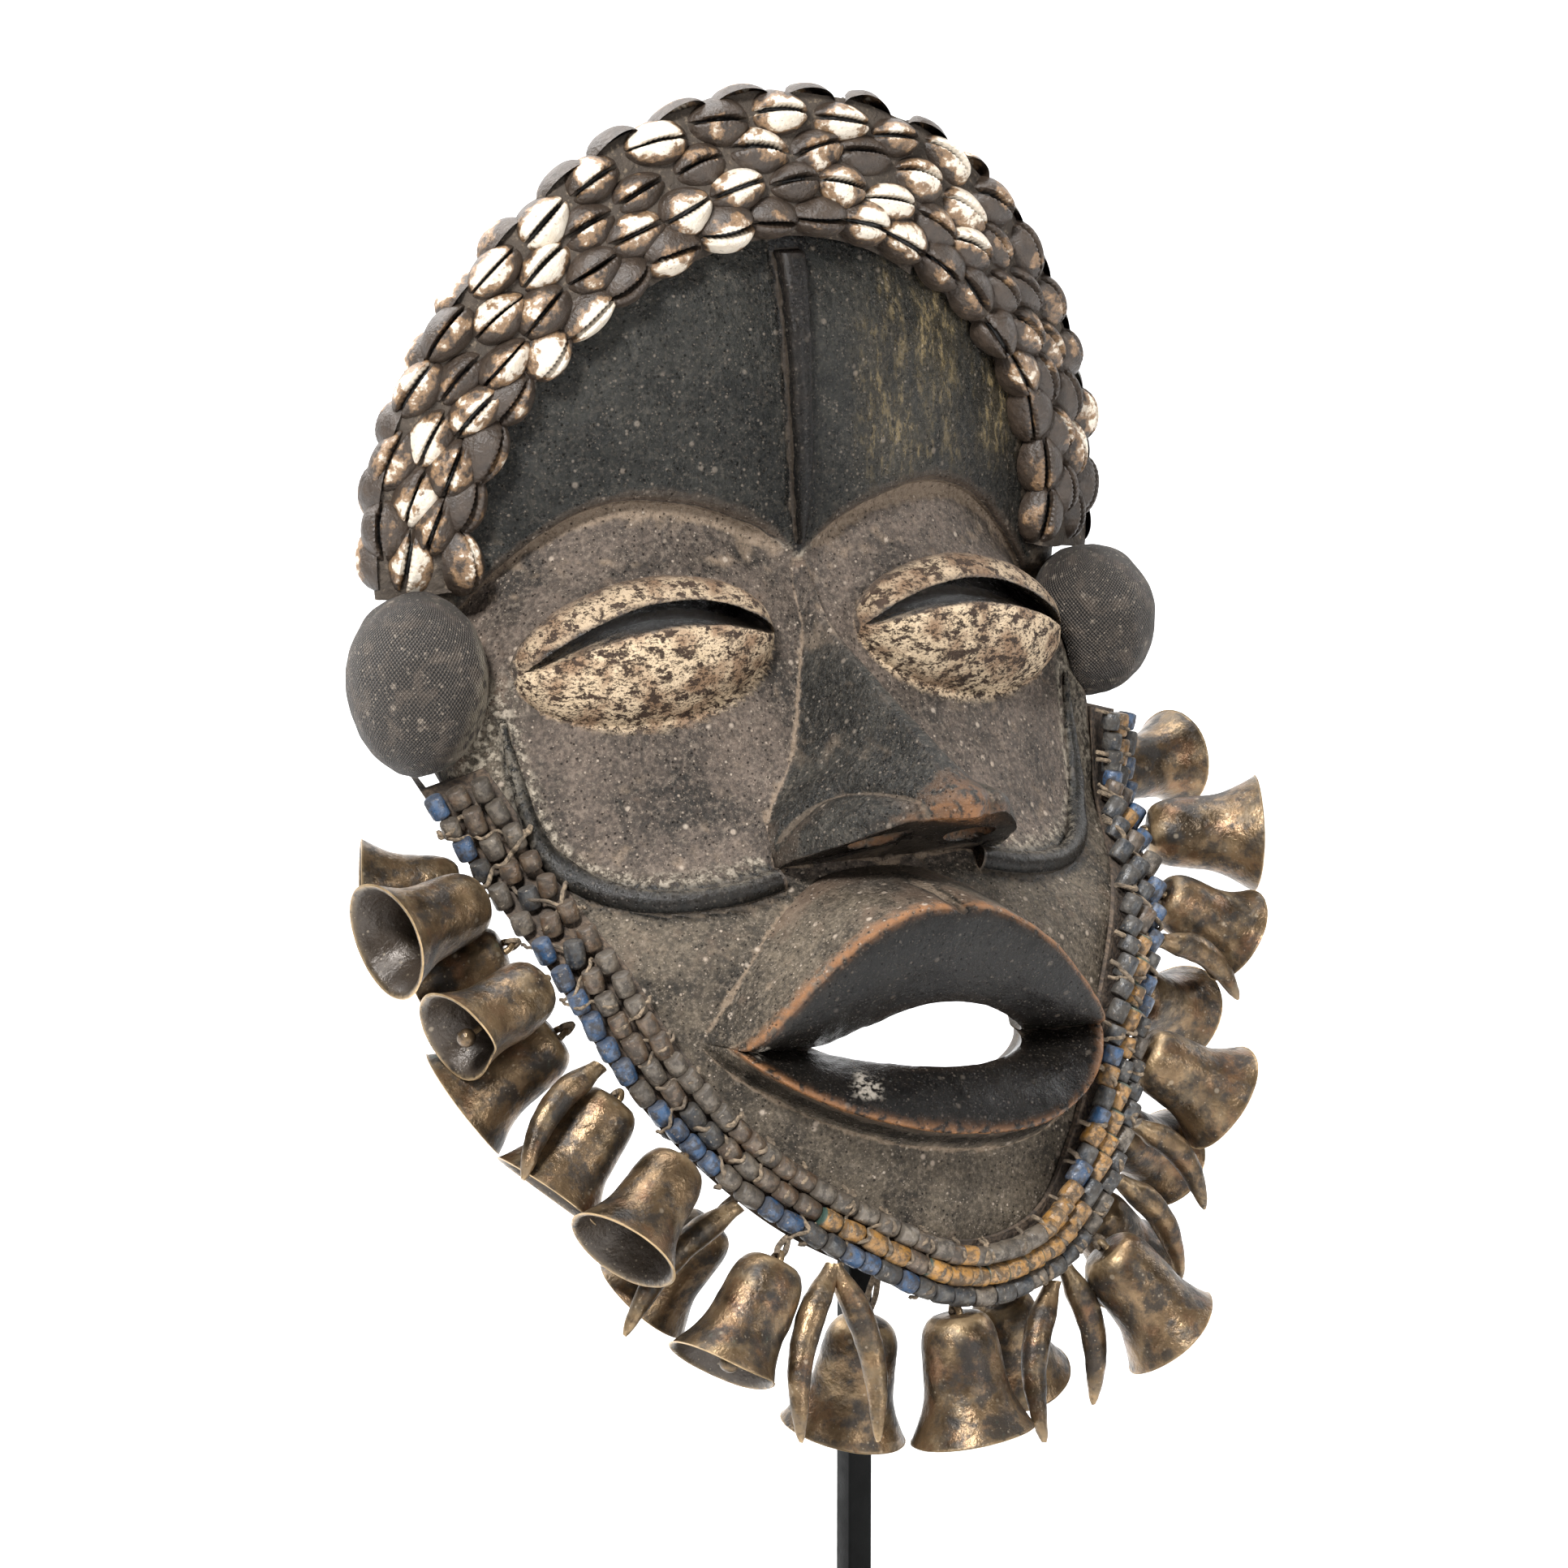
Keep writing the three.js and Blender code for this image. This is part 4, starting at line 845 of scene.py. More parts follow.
def carve_head():
    woods = [carved_wood, raw_wood]

    def blanks(*shapes):
        return [shape.build("blank", woods) for shape in shapes]
    head = head_block().build("carved_head", woods)
    sides = (-1, 1)
    carve(head, blanks(hollow_block()), "DIFFERENCE")
    raised = blanks(nose_block(), ridge_block(), *map(lid_block, sides), *map(rim_block, sides))
    carve(head, raised, "UNION")
    carve(head, blanks(*map(slit_block, sides), *map(nostril, sides), mouth_block()), "DIFFERENCE")
    carve(head, blanks(lip_block()), "UNION")
    mesh = head.data
    points = mesh_points(mesh)
    lipped = (points[:, 1] < jaw_depth(points[:, 0], points[:, 2]) - 2) & (points[:, 2] < 228)
    settle_points(mesh, np.where(lipped, 0.15, 0.7), 2)
    mark_zones(mesh)
    points = mesh_points(mesh)
    sway = 0.4 * rough(points, 17, 1) + 0.16 * rough(points, 4, 2)
    move_points(mesh, points + mesh_normals(mesh) * sway[:, None])
    set_mark(mesh, "proud", relief(mesh, 5))
    mesh.polygons.foreach_set("use_smooth", [True] * len(mesh.polygons))
    mesh.set_sharp_from_angle(angle=math.radians(48))
    finish_piece(head, "mask_face", "wood")


# Cap of paste with cowrie shells
hair_radius = through([[0, 109.5], [30, 107], [55, 103], [78, 101.5], [96, 101.5]])
hair_profile = [(-0.5, -3), (1.5, -5), (12, -3.5), (21, 1), (28, 6.5), (30.5, 12), (25, 24)]
hair_end, hair_span = 96, 33
cowrie = dict(across=20, rows=5, long=16.6, wide=12.2, high=6.0, sunk=1.9)


def hair_curve(degrees, count):
    a = math.radians(degrees)
    start = mix(hairline, float(half_width(300)) + 0.5, float(ease((abs(degrees) - 40) / 45)))
    outer = float(hair_radius(abs(degrees)))
    x, z = start * math.sin(a), hair_centre + start * math.cos(a)
    front = float(forehead_depth(x, z))
    reach = (float(back_depth(hair_centre + outer * math.cos(a))) - front) / hair_profile[-1][1]
    line = []
    for out, deep in hair_profile:
        r = start + out * (outer - start) / hair_span
        y = front + (deep * reach if deep > 0 else deep)
        line.append((r * math.sin(a), y, hair_centre + r * math.cos(a)))
    return smooth_line(line, count)[0]


def shell_block(shape, at, along, over, out, tone):
    """One cowrie: a dome with an open toothed slit along its length"""
    rows, columns = 21, 45
    # Rows lie closer together near the slit, where the teeth are
    across = np.linspace(-1, 1, rows)
    v, u = np.meshgrid(np.sign(across) * np.abs(across) ** 1.3, np.linspace(-1, 1, columns), indexing="ij")
    # A square grid turned into a round one
    ru, rv = u * np.sqrt(1 - v * v / 2), v * np.sqrt(1 - u * u / 2)
    r = np.clip(np.hypot(ru, rv), 0, 1)
    egg = 1 + dice.uniform(0.04, 0.2) * ru * dice.choice((-1, 1))
    length = cowrie["long"] * dice.uniform(0.86, 1.04) / 2
    width = cowrie["wide"] * dice.uniform(0.82, 1.04) / 2
    dome = cowrie["high"] * dice.uniform(0.8, 1.1) * (1 - r**2.4) ** 0.62
    slit_at = rv + dice.uniform(-0.06, 0.2) * ru * ru - dice.uniform(-0.05, 0.1)
    taper = np.clip(1 - ru**8, 0, 1)
    opening = dice.uniform(0.06, 0.13) * (1 - 0.35 * ru * ru)
    groove = np.clip(1.2 * np.exp(-((slit_at / opening) ** 4)), 0, 1) * taper
    near_slit = hump(np.abs(slit_at) - opening - 0.05, 0.09)
    teeth = (0.5 + 0.5 * np.cos(ru * 40 + dice.uniform(0, 6))) * near_slit
    lips = hump(np.abs(slit_at) - opening - 0.16, 0.17) * taper
    high = dome - 2.8 * groove + 0.45 * lips - 0.45 * teeth * taper - cowrie["sunk"]
    bump = 0.25 * noise.noise(Vector(at) / 5)
    points = at + sum(size[..., None] * way for size, way in (
        (ru * length, along), (rv * width * egg, over), (high + bump, out)))
    lift = np.clip(dome / cowrie["high"], 0, 1)
    lift = lift + dice.uniform(-0.45, 0.45) * rv + dice.uniform(-0.3, 0.3) * ru
    # Painted shade: the slit's groove and the dips between its teeth are painted near black
    cowrie_slit_shade = groove + 0.5 * teeth * taper
    shape.add(points, grid_faces(rows, columns), 1, lift=lift, groove=cowrie_slit_shade, tone=tone)


def hair_block():
    stations, steps = 200, 36
    rings = []
    for k in range(stations + 1):
        line = hair_curve(mix(-hair_end, hair_end, k / stations), steps)
        last = line[-1]
        within = mix(np.array([0, last[1] - 10, hair_centre]), last, np.array([0.72, 0, 0.72]))
        rings.append(np.vstack([line, within, line[0] + [0, 8, 0]]))
    rings = np.array(rings)
    lumps = rough(rings[:, :steps].reshape(-1, 3), 7, 5).reshape(stations + 1, steps, 1)
    rings[:, :steps] += 0.5 * lumps
    return Shape().loft(rings)


def hair_cap():
    shape = Shape()
    half = cowrie["across"]
    for row in range(cowrie["rows"]):
        for cell in range(-1 if row % 2 else 0, half * 2, 2):
            low, high = max(cell, 0), min(cell + 2, half * 2)
            if high - low < 2:
                continue
            middle = (low + high) / 2 + dice.uniform(-0.2, 0.2)

            def spot(k, t):
                line = hair_curve(mix(-hair_end, hair_end, k / half / 2), cowrie["rows"] * 10 + 1)
                return line[int(round(t * 10))]
            t = row + 0.5 + dice.uniform(-0.08, 0.08)
            at = spot(middle, t)
            along = unit(spot(middle + 0.5, t) - spot(middle - 0.5, t))
            over = unit(spot(middle, t + 0.4) - spot(middle, t - 0.4))
            twist = dice.gauss(0, 0.16)
            along, over = along + over * twist, over - along * twist
            out = unit(np.cross(along, over))
            # Painted shade: shells towards the right of the cap are given a darker tone
            shaded_side = float(ease((at[0] - 55) / 30)) * 0.25
            shell_block(shape, at, along, over, out, dice.random() - shaded_side - 0.12 * (row == 0))
    base = hair_block().build("cowrie_cap", [paste_skin, cowrie_shell])
    carve(base, [grown_head()], "DIFFERENCE")
    shells = shape.build("shells", [paste_skin, cowrie_shell])
    return join(base, [shells])


# The head's block, slightly grown, to trim what lies against it
def grown_head():
    grow = 0.3
    block = head_block(60).build("blank", [paste_skin])
    points = mesh_points(block.data)
    points[:, 0] *= 1 + grow / 80
    points[:, 1] -= grow
    points[:, 2] += grow * (points[:, 2] - 255) / 110
    move_points(block.data, points)
    return block


def join(base, others):
    work = bmesh.new()
    work.from_mesh(base.data)
    for other in others:
        work.from_mesh(other.data)
        bpy.data.objects.remove(other)
    work.to_mesh(base.data)
    work.free()
    return base


# Cloth pads over the ears
pads = {"left": ((-95, 41, 271), (16, 19, 22)), "right": ((92, 40, 273), (15.5, 18, 19))}


def pad_block(at, radii, seed):
    rows, columns = 60, 90
    a = np.linspace(0.02, math.pi - 0.02, rows)[:, None]
    b = circle(columns)[None, :]
    ball = points_from(np.sin(a) * np.cos(b), np.sin(a) * np.sin(b), np.cos(a))
    lumps = 1 + 0.035 * rough(ball.reshape(-1, 3), 0.7, seed).reshape(rows, columns, 1)
    points = np.array(at) + ball * np.array(radii) * lumps
    pale = ease((half_width(points[..., 2]) + 7 - np.abs(points[..., 0])) / 6) * (points[..., 0] < 0)
    return Shape().loft(points, cloth_u=(b * 18 + 0 * a), cloth_v=(a * 20 + 0 * b), pale=pale)


# Strings of beads along the jaw
jaw_line = [(-96, 245.6), (-88.5, 229.3), (-81, 206.6), (-71.2, 184.8), (-52.9, 161.9), (-25.9, 143),
            (2.7, 130.6), (30.1, 135.2), (51.3, 156.8), (66.5, 185.2), (81, 207.2), (97.5, 227.1),
            (102.5, 248.5)]
string_step, stand_off, bead_radius = 4.9, 6.1, 2.4
strap = dict(inner=2.6, outer=2.6, under=4.3, thick=1.3, behind=14, turn=0.3, clear=1.2)
jaw_points, jaw_length = smooth_line([(x, 0, z) for x, z in jaw_line], 800)


def jaw_frame(along, inward):
    k = np.clip(along / jaw_length, 0, 1) * 799
    at = np.array([np.interp(k, np.arange(800), jaw_points[:, i]) for i in range(3)])
    i = int(np.clip(k, 1, 798))
    run = unit(jaw_points[i + 1] - jaw_points[i - 1])
    out = np.array([run[2], 0, -run[0]])
    at = at - out * inward

    def depth(p):
        return float(jaw_depth(p[0], max(p[2], 136)))
    slope = (depth(at + out) - depth(at - out)) / 2
    at[1] = depth(at) - stand_off
    out[1] = min(slope, 0.75)
    out = unit(out)
    back_way = unit(np.cross(out, run))
    return at, out, back_way if back_way[1] > 0 else -back_way, run


blue, slate, ochre = (0.022, 0.062, 0.135), (0.016, 0.02, 0.026), (0.3, 0.15, 0.035)
brown, grey, green = (0.075, 0.045, 0.026), (0.085, 0.068, 0.052), (0.015, 0.085, 0.065)


# Along each string, up to a share of its length: the colours, each with the chance summed up to it
bead_runs = [
    [(0.3, ((0.75, blue), (0.8, slate), (1, grey))), (0.5, ((0.4, blue), (0.8, slate), (1, grey))),
     (0.751, ((0.8, slate), (1, grey))), (1, ((0.45, blue), (0.8, slate), (1, grey)))],
    [(0.201, ((0.55, brown), (0.75, grey), (1, slate))),
     (0.36, ((0.55, brown), (0.75, grey), (0.88, ochre), (1, slate))),
     (1, ((0.62, ochre), (0.85, brown), (1, slate)))],
    [(0.4, ((0.6, grey), (1, brown))), (0.62, ((0.45, ochre), (0.8, grey), (1, brown))),
     (1, ((0.55, slate), (0.7, blue), (0.82, ochre), (1, brown)))]]
# A bead from its middle to its end: how far along, and how thick there
bead_half = [(0, 1.02), (0.78, 0.98), (0.93, 0.9), (1, 0.76), (1, 0.3)]
bead_profile = [(-s, r) for s, r in bead_half[:0:-1]] + bead_half


def bead_colour(string, t):
    pick = dice.random()
    chances = next(chances for end, chances in bead_runs[string] if t < end)
    return next(colour for limit, colour in chances if pick < limit)


def bead_string(string, name):
    shape = Shape()
    lengths = np.array([dice.uniform(4.2, 6.4) + (0.8 if string == 1 else 0) for _ in range(70)])
    ends_at = np.concatenate([[0], np.cumsum(lengths)])
    count = int(np.searchsorted(ends_at, jaw_length - 2))
    ends_at *= jaw_length / ends_at[count]
    for k in range(count):
        at, out, _, run = jaw_frame((ends_at[k] + ends_at[k + 1]) / 2, string * string_step)
        up = unit(np.cross(run, out))
        side = unit(np.cross(up, run))
        tilt = dice.uniform(-0.12, 0.12)
        run, side = run + side * tilt, side - run * tilt
        radius = bead_radius * dice.uniform(0.96, 1.06)
        half = (ends_at[k + 1] - ends_at[k]) / 2 * dice.uniform(0.95, 0.99)
        at = at + up * dice.uniform(-0.15, 0.15) + side * dice.uniform(-0.15, 0.15)
        a = circle(20)
        around = np.cos(a)[:, None] * side + np.sin(a)[:, None] * up
        rings = [at + run * s * half + around * radius * r for s, r in bead_profile]
        colour = np.array(bead_colour(string, k / count))
        tint = colour * dice.uniform(0.75, 1.25)
        ringed = string == 1 and colour[0] == ochre[0] and dice.random() < 0.6
        at_ends = np.repeat([abs(s) > 0.85 for s, _ in bead_profile], len(a))
        parts = zip(("red", "green", "blue"), green if ringed else tint, tint)
        paint = {channel: np.where(at_ends, end, middle) for channel, end, middle in parts}
        # The edge mark gives painted shade at each bead's ends in the glass material
        shape.loft(rings, tone=dice.random(), edge=at_ends.astype(float), **paint)
    slot = ("beads_blue", "beads_ochre", "beads_slate")[string]
    finish_piece(shape.build(f"sewn_{name}", [bead_glass], angle=35), name, slot)


def tube(shape, line, radius, slot=0, sides=8, **marks):
    line = np.array(line, float)
    run = unit(np.gradient(line, axis=0))
    side = unit(np.cross(run, [0.3, 1, 0.2]))
    up = np.cross(side, run)
    a = circle(sides)[None, :, None]
    radius = np.broadcast_to(radius, len(line))[:, None, None]
    rings = line[:, None] + radius * (np.cos(a) * side[:, None] + np.sin(a) * up[:, None])
    return shape.loft(rings, slot, **marks)


def strap_and_lashing():
    rings = []
    for k in range(241):
        along = jaw_length * k / 240
        inner_at, inner_out, inner_back, _ = jaw_frame(along, 2 * string_step)
        outer_at, outer_out, outer_back, _ = jaw_frame(along, 0)
        flat = unit(outer_out * [1, 0, 1])
        a = inner_at - inner_out * strap["inner"] + inner_back * strap["under"]
        b = outer_at + outer_out * strap["outer"] + outer_back * strap["under"]
        c = b - flat * strap["behind"] * strap["turn"] + np.array([0, strap["behind"], 0])
        d = c - flat * strap["thick"]
        e = b - flat * strap["thick"] + outer_back * strap["thick"]
        f = a + inner_back * strap["thick"]
        ring = []
        for p, q, n in ((a, b, 8), (b, c, 8), (c, d, 2), (d, e, 8), (e, f, 8), (f, a, 2)):
            ring += [mix(p, q, i / n) for i in range(n)]
        rings.append(ring)
    rings = np.array(rings)
    band = Shape().loft(rings).build("beaded_strap", [strap_fibre, thread_fibre])
    trims = [grown_head()]
    for side in (-1, 1):
        trims.append(rim_block(side, 0.5).build("blank", [paste_skin]))
    mouth = lip_block(96)
    for group in mouth.points:
        group[:] = (group - [0, 0.6, lip["z"]]) * [1.035, 1, 1.035] + [0, 0, lip["z"]]
    carve(band, trims + [mouth.build("blank", [paste_skin])], "DIFFERENCE")
    lashing = Shape()
    count = 71
    for turn_number in range(56):
        k = 1.5 + turn_number * 1.25 + dice.uniform(-0.3, 0.3)
        lean = (1 if turn_number % 2 else -1) * dice.uniform(1.0, 3.4)
        low, high = dice.choice(((-0.75, 2.75), (0.5, 2.75), (0.5, 2.75), (-0.75, 1.5)))
        wave = dice.uniform(0, 6)
        line = []
        for i in np.linspace(low, high, 24):
            along = jaw_length * k / count + lean * (i - 1) + 0.35 * math.sin(4 * i + wave)
            at, _, behind, _ = jaw_frame(along, i * string_step)
            groove = 0.5 + 0.5 * math.cos(2 * math.pi * i)
            over = 2.3 * groove - 0.6 * (1 - groove)
            if i < low + 0.15 or i > high - 0.15:
                over = -2.6
            line.append(at - behind * (over + 0.35))
        tube(lashing, smooth_line(line, 40)[0], dice.uniform(0.4, 0.62), slot=1)
    return join(band, [lashing.build("lashing", [strap_fibre, thread_fibre])])


# Bells and claws: how far along the strap, how far behind its front edge, splay, lean and reach;
# for a bell also its size, how crushed it is and whether its pellet shows
bell = dict(crown=8.6, rim=14.6, high=28, wall=1.2)
bells = [
    (23, 12, -90, 24, 25.5, 0.82), (23, 1, -76, -9, 28, 0.97), (35.5, 16, -62, 26, 25, 0.78),
    (39.5, 1, -65, -10, 27, 0.92, 1, 1), (53.5, 12, -53, 17, 31, 0.98), (68, 6, -40, 2, 28, 0.95),
    (83.5, 0, -48, -15, 27, 0.94), (104, 14, -38, 18, 33.5, 0.9), (111.5, 1, -34, -8, 33.5, 1, 0.5, 1),
    (141, 12, -8, 9, 39.5, 1), (157.5, 2, 5, -8, 29.6, 1.04, 0, 1), (175, 12, 22, 15, 31, 0.9),
    (198, 0, 38, -14, 31, 1, 0.4), (207.5, 14, 42, 14, 35, 0.88), (224, 14, 60, 16, 31.5, 0.85),
    (243.5, 4, 58, -6, 26.5, 0.92), (256, 15, 66, 23, 34.5, 0.86), (283.5, 1, 60, -6, 24.5, 0.85),
    (298, 0, 88, -26, 27.5, 0.98), (307, 14, 94, 10, 27, 0.88)]
claws = [
    (59.5, 0.6, [-46], -11, 33), (101.5, 6, [-47], 2, 40), (123, 0, [-23, 7], -17, 42),
    (184, 1, [-15], -17, 38), (189, 3, [11], -5, 35), (213, 2, [34], -3, 32), (226.5, 1, [39], -7, 29),
    (271.5, 1, [53], -3, 28)]


def hang_point(along, behind):
    at, out, _, _ = jaw_frame(along, 0)
    flat = unit(out * [1, 0, 1])
    at = at + flat * (strap["outer"] + strap["clear"] - strap["turn"] * max(0, behind - strap["thick"] * 2))
    return at + [0, behind, 0]


def turn_to(splay, lean):
    a, b = math.radians(splay), math.radians(lean)
    down = Vector((math.sin(a) * math.cos(b), math.sin(b), -math.cos(a) * math.cos(b)))
    return np.array(Vector((0, 0, -1)).rotation_difference(down).to_matrix())


def crush(points, amount, top, size):
    x, y, z = points.T
    deep = ease(((top - z) / size / bell["high"] - 0.4) / 0.6) * amount
    deep *= np.maximum(0, (x * 0.8 - y * 0.6) / np.hypot(x, y).clip(1e-3)) ** 2
    inward = 1 - 0.45 * deep
    return points_from(x * inward, y * inward, z + 4 * size * deep)


bell_outer = through([[0, 3.2], [0.5, 5.6], [2.4, 7.5], [5.6, 8.6], [12, 9.2], [18, 9.9], [22.5, 11.6],
                      [28, 14.5]])


def hang_bell(number, along, behind, splay, lean, reach, size, crushed=0, pellet=0):
    shape = Shape()
    top = -(reach - bell["high"] * size) / size
    depth = np.concatenate([[0, 0.25], np.linspace(0.5, 27.4, 30), [27.85]])
    outer = [(float(bell_outer(d)), top - d) for d in depth]
    lip_roll = [(14.7, top - 27.95), (14.3, top - 28.2), (13.5, top - 27.9)]
    inner = [(float(bell_outer(d)) - bell["wall"], top - d) for d in np.linspace(27, 3, 24)]
    profile = [(0.3, top - 0.02)] + outer + lip_roll + inner + [(4.5, top - 2), (0.3, top - 1.8)]
    a = circle(48)
    rings = []
    wobble = [dice.uniform(0, 6.28) for _ in range(3)]
    for r, z in profile:
        down = (top - z) / bell["high"]
        uneven = 1 + 0.03 * ease(down) * np.sin(2 * a + wobble[0]) + 0.014 * np.sin(3 * a + wobble[1])
        low = 0.5 * ease(down - 0.5) * np.sin(2 * a + wobble[2])
        rings.append(points_from(r * uneven * np.cos(a), r * uneven * np.sin(a), z + low))
    rings = np.array(rings) * size
    points = rings.reshape(-1, 3)
    points = points + 0.12 * rough(points, 5, number)[:, None] * unit(points * [1, 1, 0])
    if crushed:
        points = crush(points, crushed, top * size, size)
    past_outer = np.arange(len(profile)) - len(outer)
    inside = (past_outer >= 2).astype(float).repeat(len(a))
    bright = hump(past_outer - 1.2, 1.3).repeat(len(a))
    shape.loft(points.reshape(rings.shape), inside=inside, bright=bright, tone=dice.random())
    crown = size * top
    half_turn = np.linspace(0, math.pi, 14)
    loop = [(0, 1.7 * math.cos(t), crown - 0.2 + 2.1 * math.sin(t)) for t in half_turn]
    tube(shape, loop, 0.85, sides=10)
    tie = [(0.9, 0.6, crown + 1.2), (1.2, 0, crown / 2), (0.2, 0, 0.6), (-1, 0, crown / 2),
           (-0.9, -0.6, crown + 1.2)]
    tube(shape, smooth_line(tie, 24)[0], 0.75, slot=1)
    turn = turn_to(splay, lean)
    at = hang_point(along, behind)
    for group in shape.points:
        group[:] = group @ turn.T + at
    cast_piece(shape, "bell", "bell", number)
    if pellet:
        drop = Shape()
        high = top - 3.5
        mouth = high - bell["high"] * 0.8
        tube(drop, np.array([(0, 0, z) for z in np.linspace(high, mouth + 2, 8)]) * size, 0.75 * size)
        t = np.linspace(0.05, math.pi - 0.05, 14)
        lump = points_from(0, 0, mouth + 2.3 * np.cos(t))
        tube(drop, lump * size, 2.4 * size * np.sin(t) ** 0.8, sides=20)
        for group in drop.points:
            group[:] = group @ turn.T + at
        cast_piece(drop, "pellet", "clapper", number)


def hang_claw(number, along, behind, splays, lean, reach):
    shape = Shape()
    at = hang_point(along, behind)
    a = circle(18)
    around = points_from(np.cos(a), np.sin(a), 0)[None]
    t = np.linspace(0, 1, 34)
    thick = 3.5 * np.sqrt(1.02 - t**2.2) * mix(0.55, 1, ease(t * 4))
    tip = np.repeat(0.5 * ease((t - 0.75) / 0.25) + 0.35 * ease((0.2 - t) / 0.1), len(a))
    for splay in splays:
        bow = 4 * np.sin(math.pi * t) * math.copysign(1, splay)
        line = points_from(bow, 0, -t * reach)
        rings = line[:, None] + thick[:, None, None] * around
        rings = rings + 0.22 * rough(rings.reshape(-1, 3), 4, number + 30).reshape(34, 18, 1) * around
        shape.loft(rings @ turn_to(splay, lean).T + at, inside=0, bright=tip, tone=dice.random())
    cast_piece(shape, "claw", "claw", number)


def finish_piece(thing, node, slot):
    if slot == "brass":
        proud = relief(thing.data, 10)
        set_mark(thing.data, "proud", proud - np.percentile(proud, 80))
    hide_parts(node)
    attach(thing, "root")


def cast_piece(shape, name, node, number):
    thing = shape.build(f"cast_{name}_{number:02d}", [brass_cast, thread_fibre])
    finish_piece(thing, f"{node}_{number:02d}", "brass")


def box_bar(shape, start, end, a_way, b_way, half_a, half_b, round_off=0.6):
    """A straight bar with rounded corners"""
    start, end = np.array(start, float), np.array(end, float)
    run = unit(end - start)
    ring = []
    for corner, (sa, sb) in enumerate(((1, 1), (-1, 1), (-1, -1), (1, -1))):
        for t in np.linspace(0, math.pi / 2, 4):
            angle = corner * math.pi / 2 + t
            ring.append((sa * (half_a - round_off) + round_off * math.cos(angle),
                         sb * (half_b - round_off) + round_off * math.sin(angle)))
    ring = np.array(ring)
    rings = []
    for where, inset in ((start, 1), (start + run * round_off, 0), (end - run * round_off, 0), (end, 1)):
        small = ring * (1 - inset * round_off / np.array([half_a, half_b]))
        rings.append(where + small[:, :1] * np.array(a_way) + small[:, 1:] * np.array(b_way))
    shape.loft(rings)


# Paste, shell, cloth, fibre, glass, brass and steel
def make_paste(n):
    colour = n.blend(n.cloud(4, detail=6), (0.018, 0.014, 0.011), (0.085, 0.064, 0.046))
    colour = n.blend(n.patches(1.4, 0.55, 0.75, detail=5), colour, (0.17, 0.13, 0.09))
    return {"Base Color": colour, "Roughness": 0.85, "Normal": n.bump(n.cloud(1.6, detail=7), 0.9)}


paste_skin = material("resin paste", make_paste)


def make_shell(n):
    lift, tone = n.mark("lift"), n.mark("tone")
    broken = n.maths("SUBTRACT", n.cloud(4.5, detail=9, rough=0.62), 0.5)
    level = n.plus(n.line(broken, 1.9, lift), n.line(tone, 0.8, -0.66))
    dark = n.tone(2.4, (0.007, 0.005, 0.004), (0.075, 0.052, 0.036), detail=6)
    colour = n.coats(
        dark,
        (n.spread(level, 0.36, 0.58), 1, n.tone(2, (0.09, 0.052, 0.03), (0.34, 0.21, 0.11))),
        (n.spread(level, 0.6, 0.76), 1, n.tone(3, (0.5, 0.4, 0.29), (0.84, 0.78, 0.68))),
        (n.patches(0.8, 0.6, 0.72, detail=3), 0.5, dark),
        # Near black along each slit: painted shade
        (n.spread(n.mark("groove"), 0.45, 0.95), 1, (0.006, 0.005, 0.004)))
    return {"Base Color": colour, "Roughness": n.spread(level, 0.4, 0.9, 0.4, 0.3),
            "Normal": n.bump(n.plus(n.cloud(1.1, detail=5), n.times(broken, 1.8)), 0.35)}


cowrie_shell = material("cowrie shell", make_shell)


def weave(n, u, v, pitch):
    warp = n.maths("SINE", n.times(u, 2 * math.pi / pitch))
    weft = n.maths("SINE", n.times(v, 2 * math.pi / pitch))
    return n.times(warp, weft)


def make_cloth(n):
    u = n.line(n.cloud(8), 1.5, n.mark("cloth_u"))
    v = n.line(n.cloud(9), 1.5, n.mark("cloth_v"))
    threads = weave(n, u, v, 1.1)
    crust = n.times(n.mark("pale"), n.patches(3, 0.36, 0.55, detail=7))
    colour = n.coats(
        n.blend(n.spread(threads, -0.6, 0.8), (0.008, 0.007, 0.006), (0.1, 0.08, 0.064)),
        (n.patches(5, 0.48, 0.64, detail=8), 0.65, (0.12, 0.092, 0.07)),
        (use(n, specks, Size=0.26, Fine=0.8)["Mask"], 0.55, (0.4, 0.33, 0.26)),
        (crust, 0.75, n.tone(2, (0.25, 0.2, 0.14), (0.5, 0.44, 0.34))),
        (n.spread(n.cells(1.9), 0.2, 0.08), 0.45, (0.42, 0.35, 0.27)))
    height = n.plus(n.times(threads, 0.7), n.plus(n.cloud(3, detail=8), crust))
    return {"Base Color": colour, "Roughness": 0.7, "Normal": n.bump(height, 0.8)}


ear_cloth = material("pad cloth", make_cloth)


def make_fibre(name, dark, light):
    def make(n):
        strands = n.cloud(0.9, n.place(scale=(1, 0.25, 1)), detail=5)
        colour = n.blend(n.spread(strands, 0.3, 0.7), dark, light)
        colour = n.blend(n.patches(12, 0.4, 0.7, 0.75, detail=5), colour, (0.05, 0.04, 0.032))
        return {"Base Color": colour, "Roughness": 0.9, "Normal": n.bump(strands, 0.5)}
    return material(name, make)


strap_fibre = make_fibre("strap fibre", (0.028, 0.02, 0.015), (0.13, 0.09, 0.06))
thread_fibre = make_fibre("tie thread", (0.06, 0.045, 0.03), (0.28, 0.21, 0.14))


